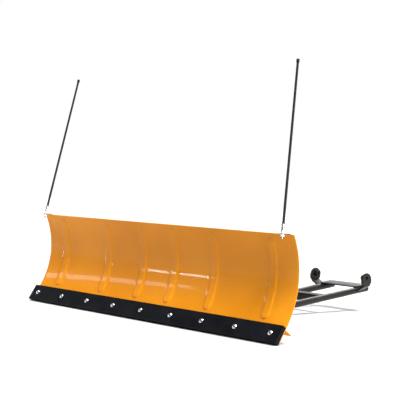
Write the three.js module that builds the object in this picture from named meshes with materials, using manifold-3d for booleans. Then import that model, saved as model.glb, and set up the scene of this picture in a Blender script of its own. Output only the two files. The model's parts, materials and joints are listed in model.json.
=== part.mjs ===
// ATV plow blade: a curved moldboard with a bolted wear bar and two guide markers. It trips forward on
// two pins against a pair of springs, and swings on a kingpin at the front of a two-tube push frame.
// Millimetres. +X runs along the blade, +Y towards the vehicle, +Z up. The cutting edge and the runners of
// the push frame stand on z = 0. The origin is the centre of the bounding box's bottom face.
import * as THREE from "three";
import { mergeVertices } from "three/addons/utils/BufferGeometryUtils.js";
import Module from "manifold-3d";

const wasm = await Module();
wasm.setup();

// ---- Driving dimensions ----
const GAP = 0.3; // clearance between touching pieces

const BLADE_WIDTH = 1524;
const SHEET = 3;
const CURVE_RADIUS = 324;
const TOP_ANGLE = 28.9; // degrees of arc above the deepest point
const BOTTOM_ANGLE = 32.5; // degrees of arc below it, where the sheet goes on straight
const SKIRT = 68; // straight part behind the wear bar
const RIB_CENTRES = [97, 330, 638]; // mirrored to the other half
const RIB_HALF_WIDTH = 21;
const RIB_HALF_CROWN = 12;
const RIB_HEIGHT = 4;
const RIB_ANGLES = [-30.5, 25.5];

const BAR_WIDTH = 75;
const BAR_THICKNESS = 20;
const BAR_START = 7.5; // from the end of the arc to the bar's upper edge
const BOLT_PITCH = 179.4;
const BOLT_COUNT = 9;
const BOLT_RADIUS = 6;
const BOLT_HEAD = { radius: 10, height: 5.5 };
const WEAR_NUT = { flats: 18, height: 10 };

const FLANGE = 4;
const BOTTOM_FLANGE_DEPTH = 40;
const BOTTOM_FLANGE_START = 15; // from the end of the arc
const TOP_FLANGE_DEPTH = 30;
const TOP_FLANGE_ANGLE = 21.5;
const TOP_FLANGE_HALF = 700;

const GUSSET = 6;
const GUSSET_DEPTH = 40;
const HINGE_GUSSET_X = 200; // inner face of the two gussets that carry the trip pins
const OUTER_GUSSET_X = 520;
const TRIP_AXIS = { y: 25, z: 95 };
const TRIP_PIN_RADIUS = 8;
const STOP_AXIS = { y: 58, z: 150 };
const STOP_RADIUS = 7;
const SPRING_TOP = { y: 16, z: 322 };
const SPRING_FOOT = { y: 372, z: 76 };
const SPRING_HOLE_RADIUS = 9;
const SPRING_WIRE = 2.5;
const SPRING_RADIUS = 13;
const SPRING_TURNS = 16.5;
const SPRING_HOOK = 10;
const SPRING_HOOK_LENGTH = 52;

const MARKER_X = 728;
const MARKER_Y = -65;
const BRACKET = 3;
const MARKER_LEAN_BACK = { left: 11, right: 4.5 }; // degrees: each rod is set by hand
const MARKER_LEAN_IN = { left: 3.2, right: 1.3 };
const MARKER_RADIUS = 5;
const MARKER_TIP_RADIUS = 6;
const MARKER_LENGTH = 645;
const SOCKET_LENGTH = 34;

const KING_Y = 460;
const KINGPIN_RADIUS = 10;
const SWIVEL_PLATE = { low: 30, high: 38 };
const LOWER_PLATE = { low: 16, high: 22 };
const UPPER_PLATE = { low: 56, high: 62 };
const SLOT_RADIUS = 82; // from the kingpin to the middle of the arc slot
const SLOT_ANGLE = 30.5; // to each side
const CLAMP_RADIUS = 7;
const ARM = { x: 60, thickness: 8, low: 18, high: 58, front: 140, rear: 398 };
const CROSS_TUBE = { half: 260, front: 100, size: 40, wall: 4 };
const LUG = 8;

const TUBE_RADIUS = 15.9;
const TUBE_WALL = 3;
const TUBE_X = 104.8;
const TUBE_SLOPE = 6.8; // degrees, rising towards the rear
const TUBE_FRONT = 525;
const TUBE_REAR = 1291;
const TUBE_FLOOR_Y = 470; // where the tube's underside would meet the floor
const SIDE_PLATE = { inner: 121, outer: 127, front: 500, rear: 660 };

const LIFT_LOOP = { half: 26, y: 612, upright: 34, wire: 5 };
const CROSS_MEMBER = { y: 940, leg: 38, wall: 4 };
const REAR_PLATE = { front: 1195, rear: 1281, half: 112, thickness: 6 };
const EAR = { x: 156, thickness: 8, y: 1219, half: 37, low: 25, height: 88, corner: 24 };
const EAR_BUSH = { radius: 15, bore: 8.5, length: 28, height: 63 };
const EAR_STRAP_HALF = 25; // half the width of the foot that joins the ear to the tube

// ---- Materials ----
const finish = (color, roughness, metalness) =>
  new THREE.MeshStandardMaterial({ color, roughness, metalness });
const orangePaint = finish(0xe08a1e, 0.32, 0.0);
const blackRubber = finish(0x16171b, 0.55, 0.0);
const blackPaint = finish(0x2b2826, 0.42, 0.2);
const blackRod = finish(0x141414, 0.5, 0.0);
const zinc = finish(0xc9ccd0, 0.3, 0.9);
const springSteel = finish(0x3a3b3d, 0.35, 0.8);

// ---- Helpers ----
const rad = THREE.MathUtils.degToRad;
const vec = (x, y, z) => new THREE.Vector3(x, y, z);

function solid(geometry) {
  const bare = geometry.index ? geometry.toNonIndexed() : geometry.clone();
  bare.deleteAttribute("normal");
  bare.deleteAttribute("uv");
  const merged = mergeVertices(bare, 1e-3);
  const data = { numProp: 3, vertProperties: merged.attributes.position.array };
  return new wasm.Manifold(new wasm.Mesh({ ...data, triVerts: new Uint32Array(merged.index.array) }));
}

function geometry(made) {
  const mesh = made.getMesh();
  const built = new THREE.BufferGeometry();
  built.setAttribute("position", new THREE.BufferAttribute(mesh.vertProperties, 3));
  built.setIndex(new THREE.BufferAttribute(mesh.triVerts, 1));
  built.computeVertexNormals();
  return built;
}

function cut(base, tools) {
  return geometry(tools.reduce((left, tool) => left.subtract(solid(tool)), solid(base)));
}

function join(pieces) {
  return geometry(pieces.slice(1).reduce((sum, piece) => sum.add(solid(piece)), solid(pieces[0])));
}

const root = new THREE.Group();
root.name = "atv_plow_blade";
const blade = new THREE.Group();
const swivel = new THREE.Group();
const pushFrame = new THREE.Group();
root.add(blade, swivel, pushFrame);

function add(group, name, shape, material) {
  const mesh = new THREE.Mesh(shape, material);
  mesh.name = name;
  group.add(mesh);
  return mesh;
}

const sides = { left: -1, right: 1 };

// An extruded outline: its border is taken anticlockwise and its holes clockwise, however they were drawn.
function extrude(outline, depth, curveSegments) {
  const drawn = outline.extractPoints(curveSegments);
  const directed = (points, clockwise) =>
    THREE.ShapeUtils.isClockWise(points) === clockwise ? points : points.slice().reverse();
  const shape = new THREE.Shape(directed(drawn.shape, false));
  shape.holes = drawn.holes.map((points) => new THREE.Path(directed(points, true)));
  return new THREE.ExtrudeGeometry(shape, { depth, bevelEnabled: false });
}

// A flat piece in the YZ plane between two X values. The outline's x and y are the piece's Y and Z.
const toYZ = new THREE.Matrix4().makeBasis(vec(0, 1, 0), vec(0, 0, 1), vec(1, 0, 0));
function standing(outline, x0, x1, curveSegments = 10) {
  const made = extrude(outline, Math.abs(x1 - x0), curveSegments).applyMatrix4(toYZ);
  return made.translate(Math.min(x0, x1), 0, 0);
}

// A flat piece lying level between two Z values.
function lying(outline, low, high, curveSegments = 12) {
  return extrude(outline, high - low, curveSegments).translate(0, 0, low);
}

function outlineOf(points) {
  return new THREE.Shape(points.map(([a, b]) => new THREE.Vector2(a, b)));
}

// A round hole in an outline.
function roundHole(a, b, radius, count = 20) {
  const points = Array.from({ length: count }, (_, i) => {
    const turn = (-i / count) * Math.PI * 2;
    return new THREE.Vector2(a + radius * Math.cos(turn), b + radius * Math.sin(turn));
  });
  return new THREE.Path(points);
}

function round(from, to, radius, segments = 20) {
  const along = to.clone().sub(from);
  const made = new THREE.CylinderGeometry(radius, radius, along.length(), segments);
  const turn = new THREE.Quaternion().setFromUnitVectors(vec(0, 1, 0), along.clone().normalize());
  return made.applyQuaternion(turn).translate(...from.clone().add(to).multiplyScalar(0.5).toArray());
}

// A turned piece: [radius, height] pairs about an axis from a base point.
function turned(profile, base, direction, segments = 20) {
  const points = profile.map(([r, h]) => new THREE.Vector2(r, h));
  const made = new THREE.LatheGeometry(points, segments);
  const turn = new THREE.Quaternion().setFromUnitVectors(vec(0, 1, 0), direction.clone().normalize());
  return made.applyQuaternion(turn).translate(...base.toArray());
}

function hexNut(base, direction, flats, height, bore) {
  const hex = new THREE.Shape();
  for (let i = 0; i < 6; i++) {
    const corner = rad(60 * i + 30);
    const reach = flats / 2 / Math.cos(rad(30));
    hex[i ? "lineTo" : "moveTo"](reach * Math.cos(corner), reach * Math.sin(corner));
  }
  hex.closePath();
  hex.holes.push(roundHole(0, 0, bore, 16));
  const made = new THREE.ExtrudeGeometry(hex, { depth: height, bevelEnabled: false, curveSegments: 8 });
  const turn = new THREE.Quaternion().setFromUnitVectors(vec(0, 0, 1), direction.clone().normalize());
  return made.applyQuaternion(turn).translate(...base.toArray());
}

// ---- Moldboard section: an arc, then a straight skirt ----
// "offset" is measured rearwards from the front face.
const skirtDown = { y: -Math.sin(rad(BOTTOM_ANGLE)), z: -Math.cos(rad(BOTTOM_ANGLE)) };
const skirtBack = { y: Math.cos(rad(BOTTOM_ANGLE)), z: -Math.sin(rad(BOTTOM_ANGLE)) };
const barEnd = BAR_START + BAR_WIDTH;
const ARC_Z = CURVE_RADIUS * Math.sin(rad(BOTTOM_ANGLE)) - barEnd * skirtDown.z + GAP * skirtBack.z;

function onArc(degrees, offset = 0) {
  const reach = CURVE_RADIUS + offset;
  return { y: reach * Math.cos(rad(degrees)) - CURVE_RADIUS, z: ARC_Z + reach * Math.sin(rad(degrees)) };
}

function onSkirt(distance, offset = 0) {
  const start = onArc(-BOTTOM_ANGLE);
  return {
    y: start.y + distance * skirtDown.y + offset * skirtBack.y,
    z: start.z + distance * skirtDown.z + offset * skirtBack.z,
  };
}

// Rows of the sheet from the skirt's end to the top edge, and columns along the blade. "rib" is the
// share of the ribs' height.
function sheetRows() {
  const rows = [{ at: (offset) => onSkirt(SKIRT, offset), rib: 0 }];
  const angles = [-BOTTOM_ANGLE, RIB_ANGLES[0]];
  for (let i = 0; i <= 11; i++) angles.push(RIB_ANGLES[0] + 3 + i * 4.5);
  angles.push(RIB_ANGLES[1], TOP_ANGLE);
  for (const angle of angles) {
    const inside = angle > RIB_ANGLES[0] && angle < RIB_ANGLES[1];
    rows.push({ at: (offset) => onArc(angle, offset), rib: inside ? 1 : 0 });
  }
  return rows;
}

function sheetColumns() {
  const columns = [{ x: -BLADE_WIDTH / 2, rib: 0 }];
  const centres = [...RIB_CENTRES.map((x) => -x).reverse(), ...RIB_CENTRES];
  const section = [[-RIB_HALF_WIDTH, 0], [-RIB_HALF_CROWN, 1], [RIB_HALF_CROWN, 1], [RIB_HALF_WIDTH, 0]];
  for (const x of centres) {
    for (const [half, rib] of section) columns.push({ x: x + half, rib });
  }
  columns.push({ x: BLADE_WIDTH / 2, rib: 0 });
  return columns;
}

function moldboardSheet() {
  const rows = sheetRows();
  const columns = sheetColumns();
  const positions = [];
  for (const face of [0, SHEET]) {
    for (const column of columns)
      for (const row of rows) {
        const point = row.at(face - RIB_HEIGHT * row.rib * column.rib);
        positions.push(column.x, point.y, point.z);
      }
  }
  const count = columns.length * rows.length;
  const front = (i, j) => i * rows.length + j;
  const back = (i, j) => count + i * rows.length + j;
  const index = [];
  const quad = (a, b, c, d) => index.push(a, b, c, a, c, d);
  for (let i = 0; i + 1 < columns.length; i++) {
    for (let j = 0; j + 1 < rows.length; j++) {
      quad(front(i, j), front(i + 1, j), front(i + 1, j + 1), front(i, j + 1));
      quad(back(i, j), back(i, j + 1), back(i + 1, j + 1), back(i + 1, j));
    }
    const last = rows.length - 1;
    quad(front(i, 0), back(i, 0), back(i + 1, 0), front(i + 1, 0));
    quad(front(i, last), front(i + 1, last), back(i + 1, last), back(i, last));
  }
  const end = columns.length - 1;
  for (let j = 0; j + 1 < rows.length; j++) {
    quad(front(0, j), front(0, j + 1), back(0, j + 1), back(0, j));
    quad(front(end, j), back(end, j), back(end, j + 1), front(end, j + 1));
  }
  const made = new THREE.BufferGeometry();
  made.setAttribute("position", new THREE.Float32BufferAttribute(positions, 3));
  return made.setIndex(index);
}

// ---- Blade ----
const boltLine = BAR_START + BAR_WIDTH / 2;
const boltAxis = vec(0, skirtBack.y, skirtBack.z);
const boltXs = Array.from({ length: BOLT_COUNT }, (_, i) => (i - (BOLT_COUNT - 1) / 2) * BOLT_PITCH);

function alongBolt(x, offset) {
  const point = onSkirt(boltLine, offset);
  return vec(x, point.y, point.z);
}

const boltHoles = boltXs.map((x) => {
  return round(alongBolt(x, -BAR_THICKNESS - 5), alongBolt(x, 12), BOLT_RADIUS + 0.4, 14);
});
add(blade, "moldboard", cut(moldboardSheet(), boltHoles), orangePaint);

function wearBar() {
  const bevel = 2;
  const front = -GAP - BAR_THICKNESS;
  const corners = [
    onSkirt(BAR_START, -GAP),
    onSkirt(barEnd, -GAP),
    onSkirt(barEnd, front + bevel),
    onSkirt(barEnd - bevel, front),
    onSkirt(BAR_START + bevel, front),
    onSkirt(BAR_START, front + bevel),
  ];
  const outline = outlineOf(corners.map((point) => [point.y, point.z]));
  return cut(standing(outline, -BLADE_WIDTH / 2, BLADE_WIDTH / 2), boltHoles);
}
add(blade, "wear_bar", wearBar(), blackRubber);

boltXs.forEach((x, i) => {
  const { radius, height } = BOLT_HEAD;
  const headBase = -2 * GAP - BAR_THICKNESS;
  const tip = height + SHEET + 16 - headBase;
  const profile = [[0, 0], [radius * 0.5, 0.6], [radius * 0.85, 2.4], [radius, height - 0.6]];
  profile.push([radius, height], [BOLT_RADIUS, height]);
  profile.push([BOLT_RADIUS, tip - 1], [BOLT_RADIUS - 1, tip], [0, tip]);
  add(blade, `wear_bar_bolt_${i + 1}`, turned(profile, alongBolt(x, headBase - height), boltAxis, 14), zinc);
  const seat = alongBolt(x, SHEET + GAP);
  const nut = hexNut(seat, boltAxis, WEAR_NUT.flats, WEAR_NUT.height, BOLT_RADIUS + GAP);
  add(blade, `wear_bar_nut_${i + 1}`, nut, zinc);
});

// A flat bar welded behind the sheet: "back" runs along its depth and "down" through its thickness.
function flange(start, back, down, depth, half) {
  const at = (a, b) => [start.y + back.y * a + down.y * b, start.z + back.z * a + down.z * b];
  const outline = outlineOf([at(0, 0), at(0, FLANGE), at(depth, FLANGE), at(depth, 0)]);
  return standing(outline, -half, half);
}
const bottomFlangeStart = onSkirt(BOTTOM_FLANGE_START, SHEET + GAP);
const bottomFlange = flange(bottomFlangeStart, skirtBack, skirtDown, BOTTOM_FLANGE_DEPTH, BLADE_WIDTH / 2);
add(blade, "bottom_flange", bottomFlange, orangePaint);
const topOut = { y: Math.cos(rad(TOP_FLANGE_ANGLE)), z: Math.sin(rad(TOP_FLANGE_ANGLE)) };
const topDown = { y: topOut.z, z: -topOut.y };
const topFlangeStart = onArc(TOP_FLANGE_ANGLE, SHEET + 2 * GAP);
const topFlange = flange(topFlangeStart, topOut, topDown, TOP_FLANGE_DEPTH, TOP_FLANGE_HALF);
add(blade, "top_flange", topFlange, orangePaint);

// Gussets follow the sheet's back from the bottom flange to the top flange.
function gussetInner() {
  const points = [onSkirt(BOTTOM_FLANGE_START - GAP, SHEET + GAP)];
  const steps = 12;
  const reach = TOP_FLANGE_ANGLE - 1.2 + BOTTOM_ANGLE;
  for (let i = 0; i <= steps; i++) points.push(onArc(-BOTTOM_ANGLE + (reach * i) / steps, SHEET + GAP));
  return points.map((point) => [point.y, point.z]);
}

function outerGusset() {
  const points = gussetInner();
  for (const angle of [19, 8, -4, -16, -27]) {
    const point = onArc(angle, SHEET + GUSSET_DEPTH * (angle > 15 ? 0.7 : 1));
    points.push([point.y, point.z]);
  }
  const foot = onSkirt(BOTTOM_FLANGE_START - GAP, SHEET + 30);
  points.push([foot.y, foot.z]);
  return outlineOf(points);
}

function hingeGusset() {
  const outline = outlineOf(gussetInner());
  const shoulder = onArc(19.5, SHEET + 36);
  outline.lineTo(shoulder.y, shoulder.z);
  outline.lineTo(STOP_AXIS.y - STOP_RADIUS - 0.6, 290);
  outline.lineTo(STOP_AXIS.y - STOP_RADIUS - GAP, STOP_AXIS.z - 8);
  outline.absarc(TRIP_AXIS.y, TRIP_AXIS.z, 18, rad(20), rad(-80), true);
  const foot = onSkirt(BOTTOM_FLANGE_START - GAP, SHEET + 30);
  outline.lineTo(foot.y, foot.z);
  outline.holes.push(roundHole(TRIP_AXIS.y, TRIP_AXIS.z, TRIP_PIN_RADIUS + GAP));
  outline.holes.push(roundHole(SPRING_TOP.y, SPRING_TOP.z, SPRING_HOLE_RADIUS));
  return outline;
}

for (const [side, sign] of Object.entries(sides)) {
  const hinge = standing(hingeGusset(), sign * HINGE_GUSSET_X, sign * (HINGE_GUSSET_X + GUSSET));
  add(blade, `${side}_hinge_gusset`, hinge, orangePaint);
  const outer = standing(outerGusset(), sign * OUTER_GUSSET_X, sign * (OUTER_GUSSET_X + GUSSET));
  add(blade, `${side}_outer_gusset`, outer, orangePaint);
}

// Guide markers: a bracket over the top edge, a plated socket with its stud and nuts, and the rod.
const topEdge = onArc(TOP_ANGLE, SHEET + GAP);
const bracketLow = topEdge.z + 0.5;
const markerZ = bracketLow + BRACKET / 2;

function markerBracket(side) {
  const sign = sides[side];
  const foot = onArc(TOP_FLANGE_ANGLE + 1, SHEET + GAP);
  const footBack = onArc(TOP_FLANGE_ANGLE + 1, SHEET + GAP + BRACKET);
  const front = MARKER_Y - 13;
  const bracketHigh = bracketLow + BRACKET;
  const points = [[front, bracketLow], [topEdge.y + 0.4, bracketLow], [foot.y, foot.z]];
  points.push([footBack.y, footBack.z], [topEdge.y + 3.8, bracketLow + 1.4]);
  points.push([topEdge.y + 2.2, bracketHigh], [front, bracketHigh]);
  const plate = standing(outlineOf(points), sign * (MARKER_X - 15), sign * (MARKER_X + 15));
  return cut(plate, [round(markerPoint(side, -30), markerPoint(side, 30), 5.6, 12)]);
}

function markerDirection(side) {
  const inward = -sides[side] * Math.tan(rad(MARKER_LEAN_IN[side]));
  return vec(inward, Math.tan(rad(MARKER_LEAN_BACK[side])), 1).normalize();
}

function markerPoint(side, distance) {
  const foot = vec(sides[side] * MARKER_X, MARKER_Y, markerZ);
  return foot.addScaledVector(markerDirection(side), distance);
}

for (const side of Object.keys(sides)) {
  add(blade, `${side}_marker_bracket`, markerBracket(side), zinc);
  const socket = [[0, -20], [4, -20], [4, -12], [8, -12], [8, -3.3], [4, -3.3], [4, 3.3], [8, 3.3]];
  const bore = MARKER_RADIUS + GAP;
  socket.push([8, 10], [7.4, 11], [7.4, SOCKET_LENGTH], [bore, SOCKET_LENGTH], [bore, 12], [0, 12]);
  const made = turned(socket, markerPoint(side, 0), markerDirection(side), 12);
  add(blade, `${side}_marker_socket`, made, zinc);
  const tip = MARKER_LENGTH;
  const rod = [[0, 12.3], [MARKER_RADIUS, 12.3], [MARKER_RADIUS, tip - 14]];
  rod.push([MARKER_TIP_RADIUS, tip - 13], [MARKER_TIP_RADIUS, tip - 2], [0, tip]);
  add(blade, `${side}_marker_rod`, turned(rod, markerPoint(side, 0), markerDirection(side), 10), blackRod);
}

// ---- Swivel frame ----
// The arc slot that the clamp bolt runs in as the blade swings.
function arcSlot() {
  const half = CLAMP_RADIUS + 0.4;
  const from = rad(90 - SLOT_ANGLE);
  const to = rad(90 + SLOT_ANGLE);
  const end = (angle) => [SLOT_RADIUS * Math.cos(angle), KING_Y + SLOT_RADIUS * Math.sin(angle)];
  const slot = new THREE.Path();
  slot.absarc(0, KING_Y, SLOT_RADIUS + half, from, to, false);
  slot.absarc(...end(to), half, to, to + Math.PI, false);
  slot.absarc(0, KING_Y, SLOT_RADIUS - half, to, from, true);
  slot.absarc(...end(from), half, from + Math.PI, from + 2 * Math.PI, false);
  return slot;
}

function swivelPlate() {
  const outline = new THREE.Shape();
  outline.moveTo(-ARM.x + GAP, ARM.front + GAP);
  outline.lineTo(ARM.x - GAP, ARM.front + GAP);
  outline.lineTo(ARM.x - GAP, KING_Y - 50);
  outline.lineTo(44, KING_Y);
  outline.absarc(0, KING_Y, 100, rad(46), rad(134), false);
  outline.lineTo(-44, KING_Y);
  outline.lineTo(-ARM.x + GAP, KING_Y - 50);
  outline.closePath();
  const window = new THREE.Path().moveTo(-38, 175).lineTo(-38, 350).lineTo(38, 350).lineTo(38, 175);
  window.closePath();
  outline.holes.push(window, arcSlot());
  const plate = lying(outline, SWIVEL_PLATE.low, SWIVEL_PLATE.high, 14);
  const bossLow = vec(0, KING_Y, LOWER_PLATE.high + GAP);
  const bossHigh = vec(0, KING_Y, UPPER_PLATE.low - GAP);
  const boss = round(bossLow, bossHigh, 24, 28);
  const bore = round(vec(0, KING_Y, 0), vec(0, KING_Y, 100), KINGPIN_RADIUS + GAP, 20);
  return cut(join([plate, boss]), [bore]);
}
add(swivel, "swivel_plate", swivelPlate(), blackPaint);

function swivelArm(sign) {
  const outline = outlineOf([
    [ARM.front + 2 * GAP, ARM.low],
    [ARM.rear, ARM.low],
    [ARM.rear + 14, ARM.low + 12],
    [ARM.rear + 14, ARM.high - 10],
    [ARM.rear, ARM.high],
    [SPRING_FOOT.y + 14, SPRING_FOOT.z + 6],
    [SPRING_FOOT.y + 6, SPRING_FOOT.z + 13],
    [SPRING_FOOT.y - 6, SPRING_FOOT.z + 13],
    [SPRING_FOOT.y - 14, SPRING_FOOT.z + 6],
    [SPRING_FOOT.y - 34, ARM.high],
    [ARM.front + 2 * GAP, ARM.high],
  ]);
  outline.holes.push(roundHole(SPRING_FOOT.y, SPRING_FOOT.z, SPRING_HOLE_RADIUS));
  return standing(outline, sign * ARM.x, sign * (ARM.x + ARM.thickness));
}

function crossTube() {
  const { front, size, wall, half } = CROSS_TUBE;
  const box = (inset) => [
    [front + inset, ARM.low + inset],
    [front + size - inset, ARM.low + inset],
    [front + size - inset, ARM.low + size - inset],
    [front + inset, ARM.low + size - inset],
  ];
  const outline = outlineOf(box(0));
  outline.holes.push(new THREE.Path(box(wall).reverse().map(([a, b]) => new THREE.Vector2(a, b))));
  return standing(outline, -half, half);
}
add(swivel, "swivel_cross_tube", crossTube(), blackPaint);

function hingeLug() {
  const face = CROSS_TUBE.front - GAP;
  const outline = new THREE.Shape();
  outline.moveTo(face, ARM.low + 2);
  outline.lineTo(face, ARM.low + CROSS_TUBE.size);
  outline.lineTo(STOP_AXIS.y + 15, STOP_AXIS.z);
  outline.absarc(STOP_AXIS.y, STOP_AXIS.z, 15, 0, Math.PI, false);
  outline.lineTo(TRIP_AXIS.y - 14, TRIP_AXIS.z + 10);
  outline.absarc(TRIP_AXIS.y, TRIP_AXIS.z, 17, rad(150), rad(250), false);
  outline.closePath();
  outline.holes.push(roundHole(TRIP_AXIS.y, TRIP_AXIS.z, TRIP_PIN_RADIUS + GAP));
  outline.holes.push(roundHole(STOP_AXIS.y, STOP_AXIS.z, STOP_RADIUS + GAP));
  return outline;
}

const lugInner = HINGE_GUSSET_X + GUSSET + 2;
for (const [side, sign] of Object.entries(sides)) {
  add(swivel, `${side}_swivel_arm`, swivelArm(sign), blackPaint);
  const lug = standing(hingeLug(), sign * lugInner, sign * (lugInner + LUG));
  add(swivel, `${side}_hinge_lug`, lug, blackPaint);
  const start = vec(sign * (HINGE_GUSSET_X - 14), TRIP_AXIS.y, TRIP_AXIS.z);
  const end = HINGE_GUSSET_X + GUSSET + LUG + 16;
  const reach = end - (HINGE_GUSSET_X - 14);
  const profile = [[0, 0], [13, 0], [13, 8], [TRIP_PIN_RADIUS, 8], [TRIP_PIN_RADIUS, reach - 2]];
  profile.push([TRIP_PIN_RADIUS - 2, reach], [0, reach]);
  add(swivel, `${side}_trip_pin`, turned(profile, start, vec(sign, 0, 0), 18), zinc);
}
const stopReach = lugInner + LUG + 8;
const stopEnds = [-stopReach, stopReach].map((x) => vec(x, STOP_AXIS.y, STOP_AXIS.z));
add(swivel, "stop_bar", round(stopEnds[0], stopEnds[1], STOP_RADIUS, 16), blackPaint);

// Trip springs: one wire each, with a hook through the gusset and a hook through the arm.
function tripSpring(sign) {
  const top = vec(sign * (HINGE_GUSSET_X + GUSSET / 2), SPRING_TOP.y, SPRING_TOP.z);
  const foot = vec(sign * (ARM.x + ARM.thickness / 2), SPRING_FOOT.y, SPRING_FOOT.z);
  const along = foot.clone().sub(top).normalize();
  const across = vec(-sign, 0, 0).addScaledVector(along, sign * along.x).normalize();
  const third = along.clone().cross(across).multiplyScalar(sign);
  const points = [];
  const hookPoint = (end, inward, angle) =>
    end.clone()
      .addScaledVector(inward, SPRING_HOOK * (1 - Math.cos(rad(angle))))
      .addScaledVector(across, SPRING_HOOK * Math.sin(rad(angle)));
  for (let angle = -90; angle <= 90; angle += 15) points.push(hookPoint(top, along, angle));
  const length = foot.distanceTo(top);
  const steps = SPRING_TURNS * 8;
  for (let i = 0; i <= steps; i++) {
    const turn = (i / steps) * SPRING_TURNS * Math.PI * 2;
    const at = SPRING_HOOK_LENGTH + ((length - 2 * SPRING_HOOK_LENGTH) * i) / steps;
    const point = top.clone().addScaledVector(along, at);
    point.addScaledVector(across, SPRING_RADIUS * Math.cos(turn));
    points.push(point.addScaledVector(third, SPRING_RADIUS * Math.sin(turn)));
  }
  const inward = along.clone().negate();
  for (let angle = -90; angle <= 75; angle += 15) points.push(hookPoint(foot, inward, angle));
  const path = new THREE.CatmullRomCurve3(points, false, "centripetal");
  const section = new THREE.Shape();
  for (let i = 0; i < 5; i++) {
    const corner = rad(72 * i);
    section[i ? "lineTo" : "moveTo"](SPRING_WIRE * Math.cos(corner), SPRING_WIRE * Math.sin(corner));
  }
  section.closePath();
  const settings = { steps: points.length + 10, bevelEnabled: false, extrudePath: path };
  return new THREE.ExtrudeGeometry(section, settings);
}
for (const [side, sign] of Object.entries(sides)) {
  add(swivel, `${side}_trip_spring`, tripSpring(sign), springSteel);
}

// ---- Push frame ----
const slope = Math.tan(rad(TUBE_SLOPE));
const axisHeight = (y) => TUBE_RADIUS / Math.cos(rad(TUBE_SLOPE)) + (y - TUBE_FLOOR_Y) * slope;
const tubeAxis = (x, y) => vec(x, y, axisHeight(y));

// Pieces that lie along the tubes are drawn level about the tube's axis and then turned to its slope.
function sloped(made, y) {
  return made.rotateX(rad(TUBE_SLOPE)).translate(0, y, axisHeight(y));
}

// A push tube is open at the front and closed at the rear by a welded disc.
function pushTube(x) {
  const outer = round(tubeAxis(x, TUBE_FRONT), tubeAxis(x, TUBE_REAR), TUBE_RADIUS, 24);
  const bore = TUBE_RADIUS - TUBE_WALL;
  return cut(outer, [round(tubeAxis(x, TUBE_FRONT - 20), tubeAxis(x, TUBE_REAR - 4), bore, 24)]);
}

function kingPlate(low, high, half, rear, holes) {
  const nose = 40;
  const outline = new THREE.Shape();
  outline.moveTo(half, rear);
  outline.lineTo(-half, rear);
  outline.lineTo(-half, SIDE_PLATE.front + 8);
  outline.absarc(0, KING_Y, nose, rad(140), rad(400), false);
  outline.lineTo(half, SIDE_PLATE.front + 8);
  outline.closePath();
  for (const [y, radius] of holes) outline.holes.push(roundHole(0, y, radius));
  return lying(outline, low, high, 20);
}

const clampY = KING_Y + SLOT_RADIUS;
const lowerHoles = [[KING_Y, KINGPIN_RADIUS + GAP]];
const lowerHalf = SIDE_PLATE.inner - GAP;
const lower = kingPlate(LOWER_PLATE.low, LOWER_PLATE.high, lowerHalf, TUBE_FRONT - 3, lowerHoles);
add(pushFrame, "lower_king_plate", lower, blackPaint);
const upperHoles = [...lowerHoles, [clampY, CLAMP_RADIUS + GAP]];
const upper = kingPlate(UPPER_PLATE.low, UPPER_PLATE.high, SIDE_PLATE.outer, 640, upperHoles);
add(pushFrame, "upper_king_plate", upper, blackPaint);

function sidePlate() {
  const outline = new THREE.Shape();
  const { front, rear } = SIDE_PLATE;
  const top = UPPER_PLATE.low - GAP;
  outline.moveTo(front, top);
  outline.lineTo(front, 14);
  outline.absarc(front + 14, 14, 14, Math.PI, Math.PI * 1.5, false);
  outline.lineTo(front + 100, 0);
  outline.lineTo(rear, axisHeight(rear) - 10);
  outline.lineTo(rear, top);
  outline.closePath();
  return outline;
}

// The kingpin: head on the upper plate, nut under the lower plate.
const kingHead = UPPER_PLATE.high + GAP;
const kingProfile = [[0, 2.5], [8.5, 2.5], [KINGPIN_RADIUS, 4], [KINGPIN_RADIUS, kingHead]];
kingProfile.push([17, kingHead], [17, kingHead + 11], [14, kingHead + 12.5], [0, kingHead + 12.5]);
add(pushFrame, "kingpin", turned(kingProfile, vec(0, KING_Y, 0), vec(0, 0, 1), 24), zinc);
const nutHeight = 10.5;
const nutBase = vec(0, KING_Y, LOWER_PLATE.low - GAP - nutHeight);
add(pushFrame, "kingpin_nut", hexNut(nutBase, vec(0, 0, 1), 30, nutHeight, KINGPIN_RADIUS + GAP), zinc);

// Angle clamp: a bolt up through the arc slot, a spacer between the plates and a T-handle nut on top.
const CLAMP_HEAD = 6;
const clampHeadTop = SWIVEL_PLATE.low - GAP;
const clampSeat = UPPER_PLATE.high + GAP;
const clampTip = clampSeat + 34;
const clampBolt = [[0, clampHeadTop - CLAMP_HEAD], [13, clampHeadTop - CLAMP_HEAD], [13, clampHeadTop]];
clampBolt.push([CLAMP_RADIUS, clampHeadTop], [CLAMP_RADIUS, clampTip - 1.5]);
clampBolt.push([CLAMP_RADIUS - 1.5, clampTip], [0, clampTip]);
add(pushFrame, "clamp_bolt", turned(clampBolt, vec(0, clampY, 0), vec(0, 0, 1), 20), zinc);
const spacerLow = SWIVEL_PLATE.high + GAP;
const spacerHigh = UPPER_PLATE.low - GAP;
const spacerBore = CLAMP_RADIUS + GAP;
const spacer = [[spacerBore, spacerLow], [14, spacerLow], [14, spacerHigh], [spacerBore, spacerHigh]];
spacer.push(spacer[0]);
add(pushFrame, "clamp_spacer", turned(spacer, vec(0, clampY, 0), vec(0, 0, 1), 20), zinc);

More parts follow.
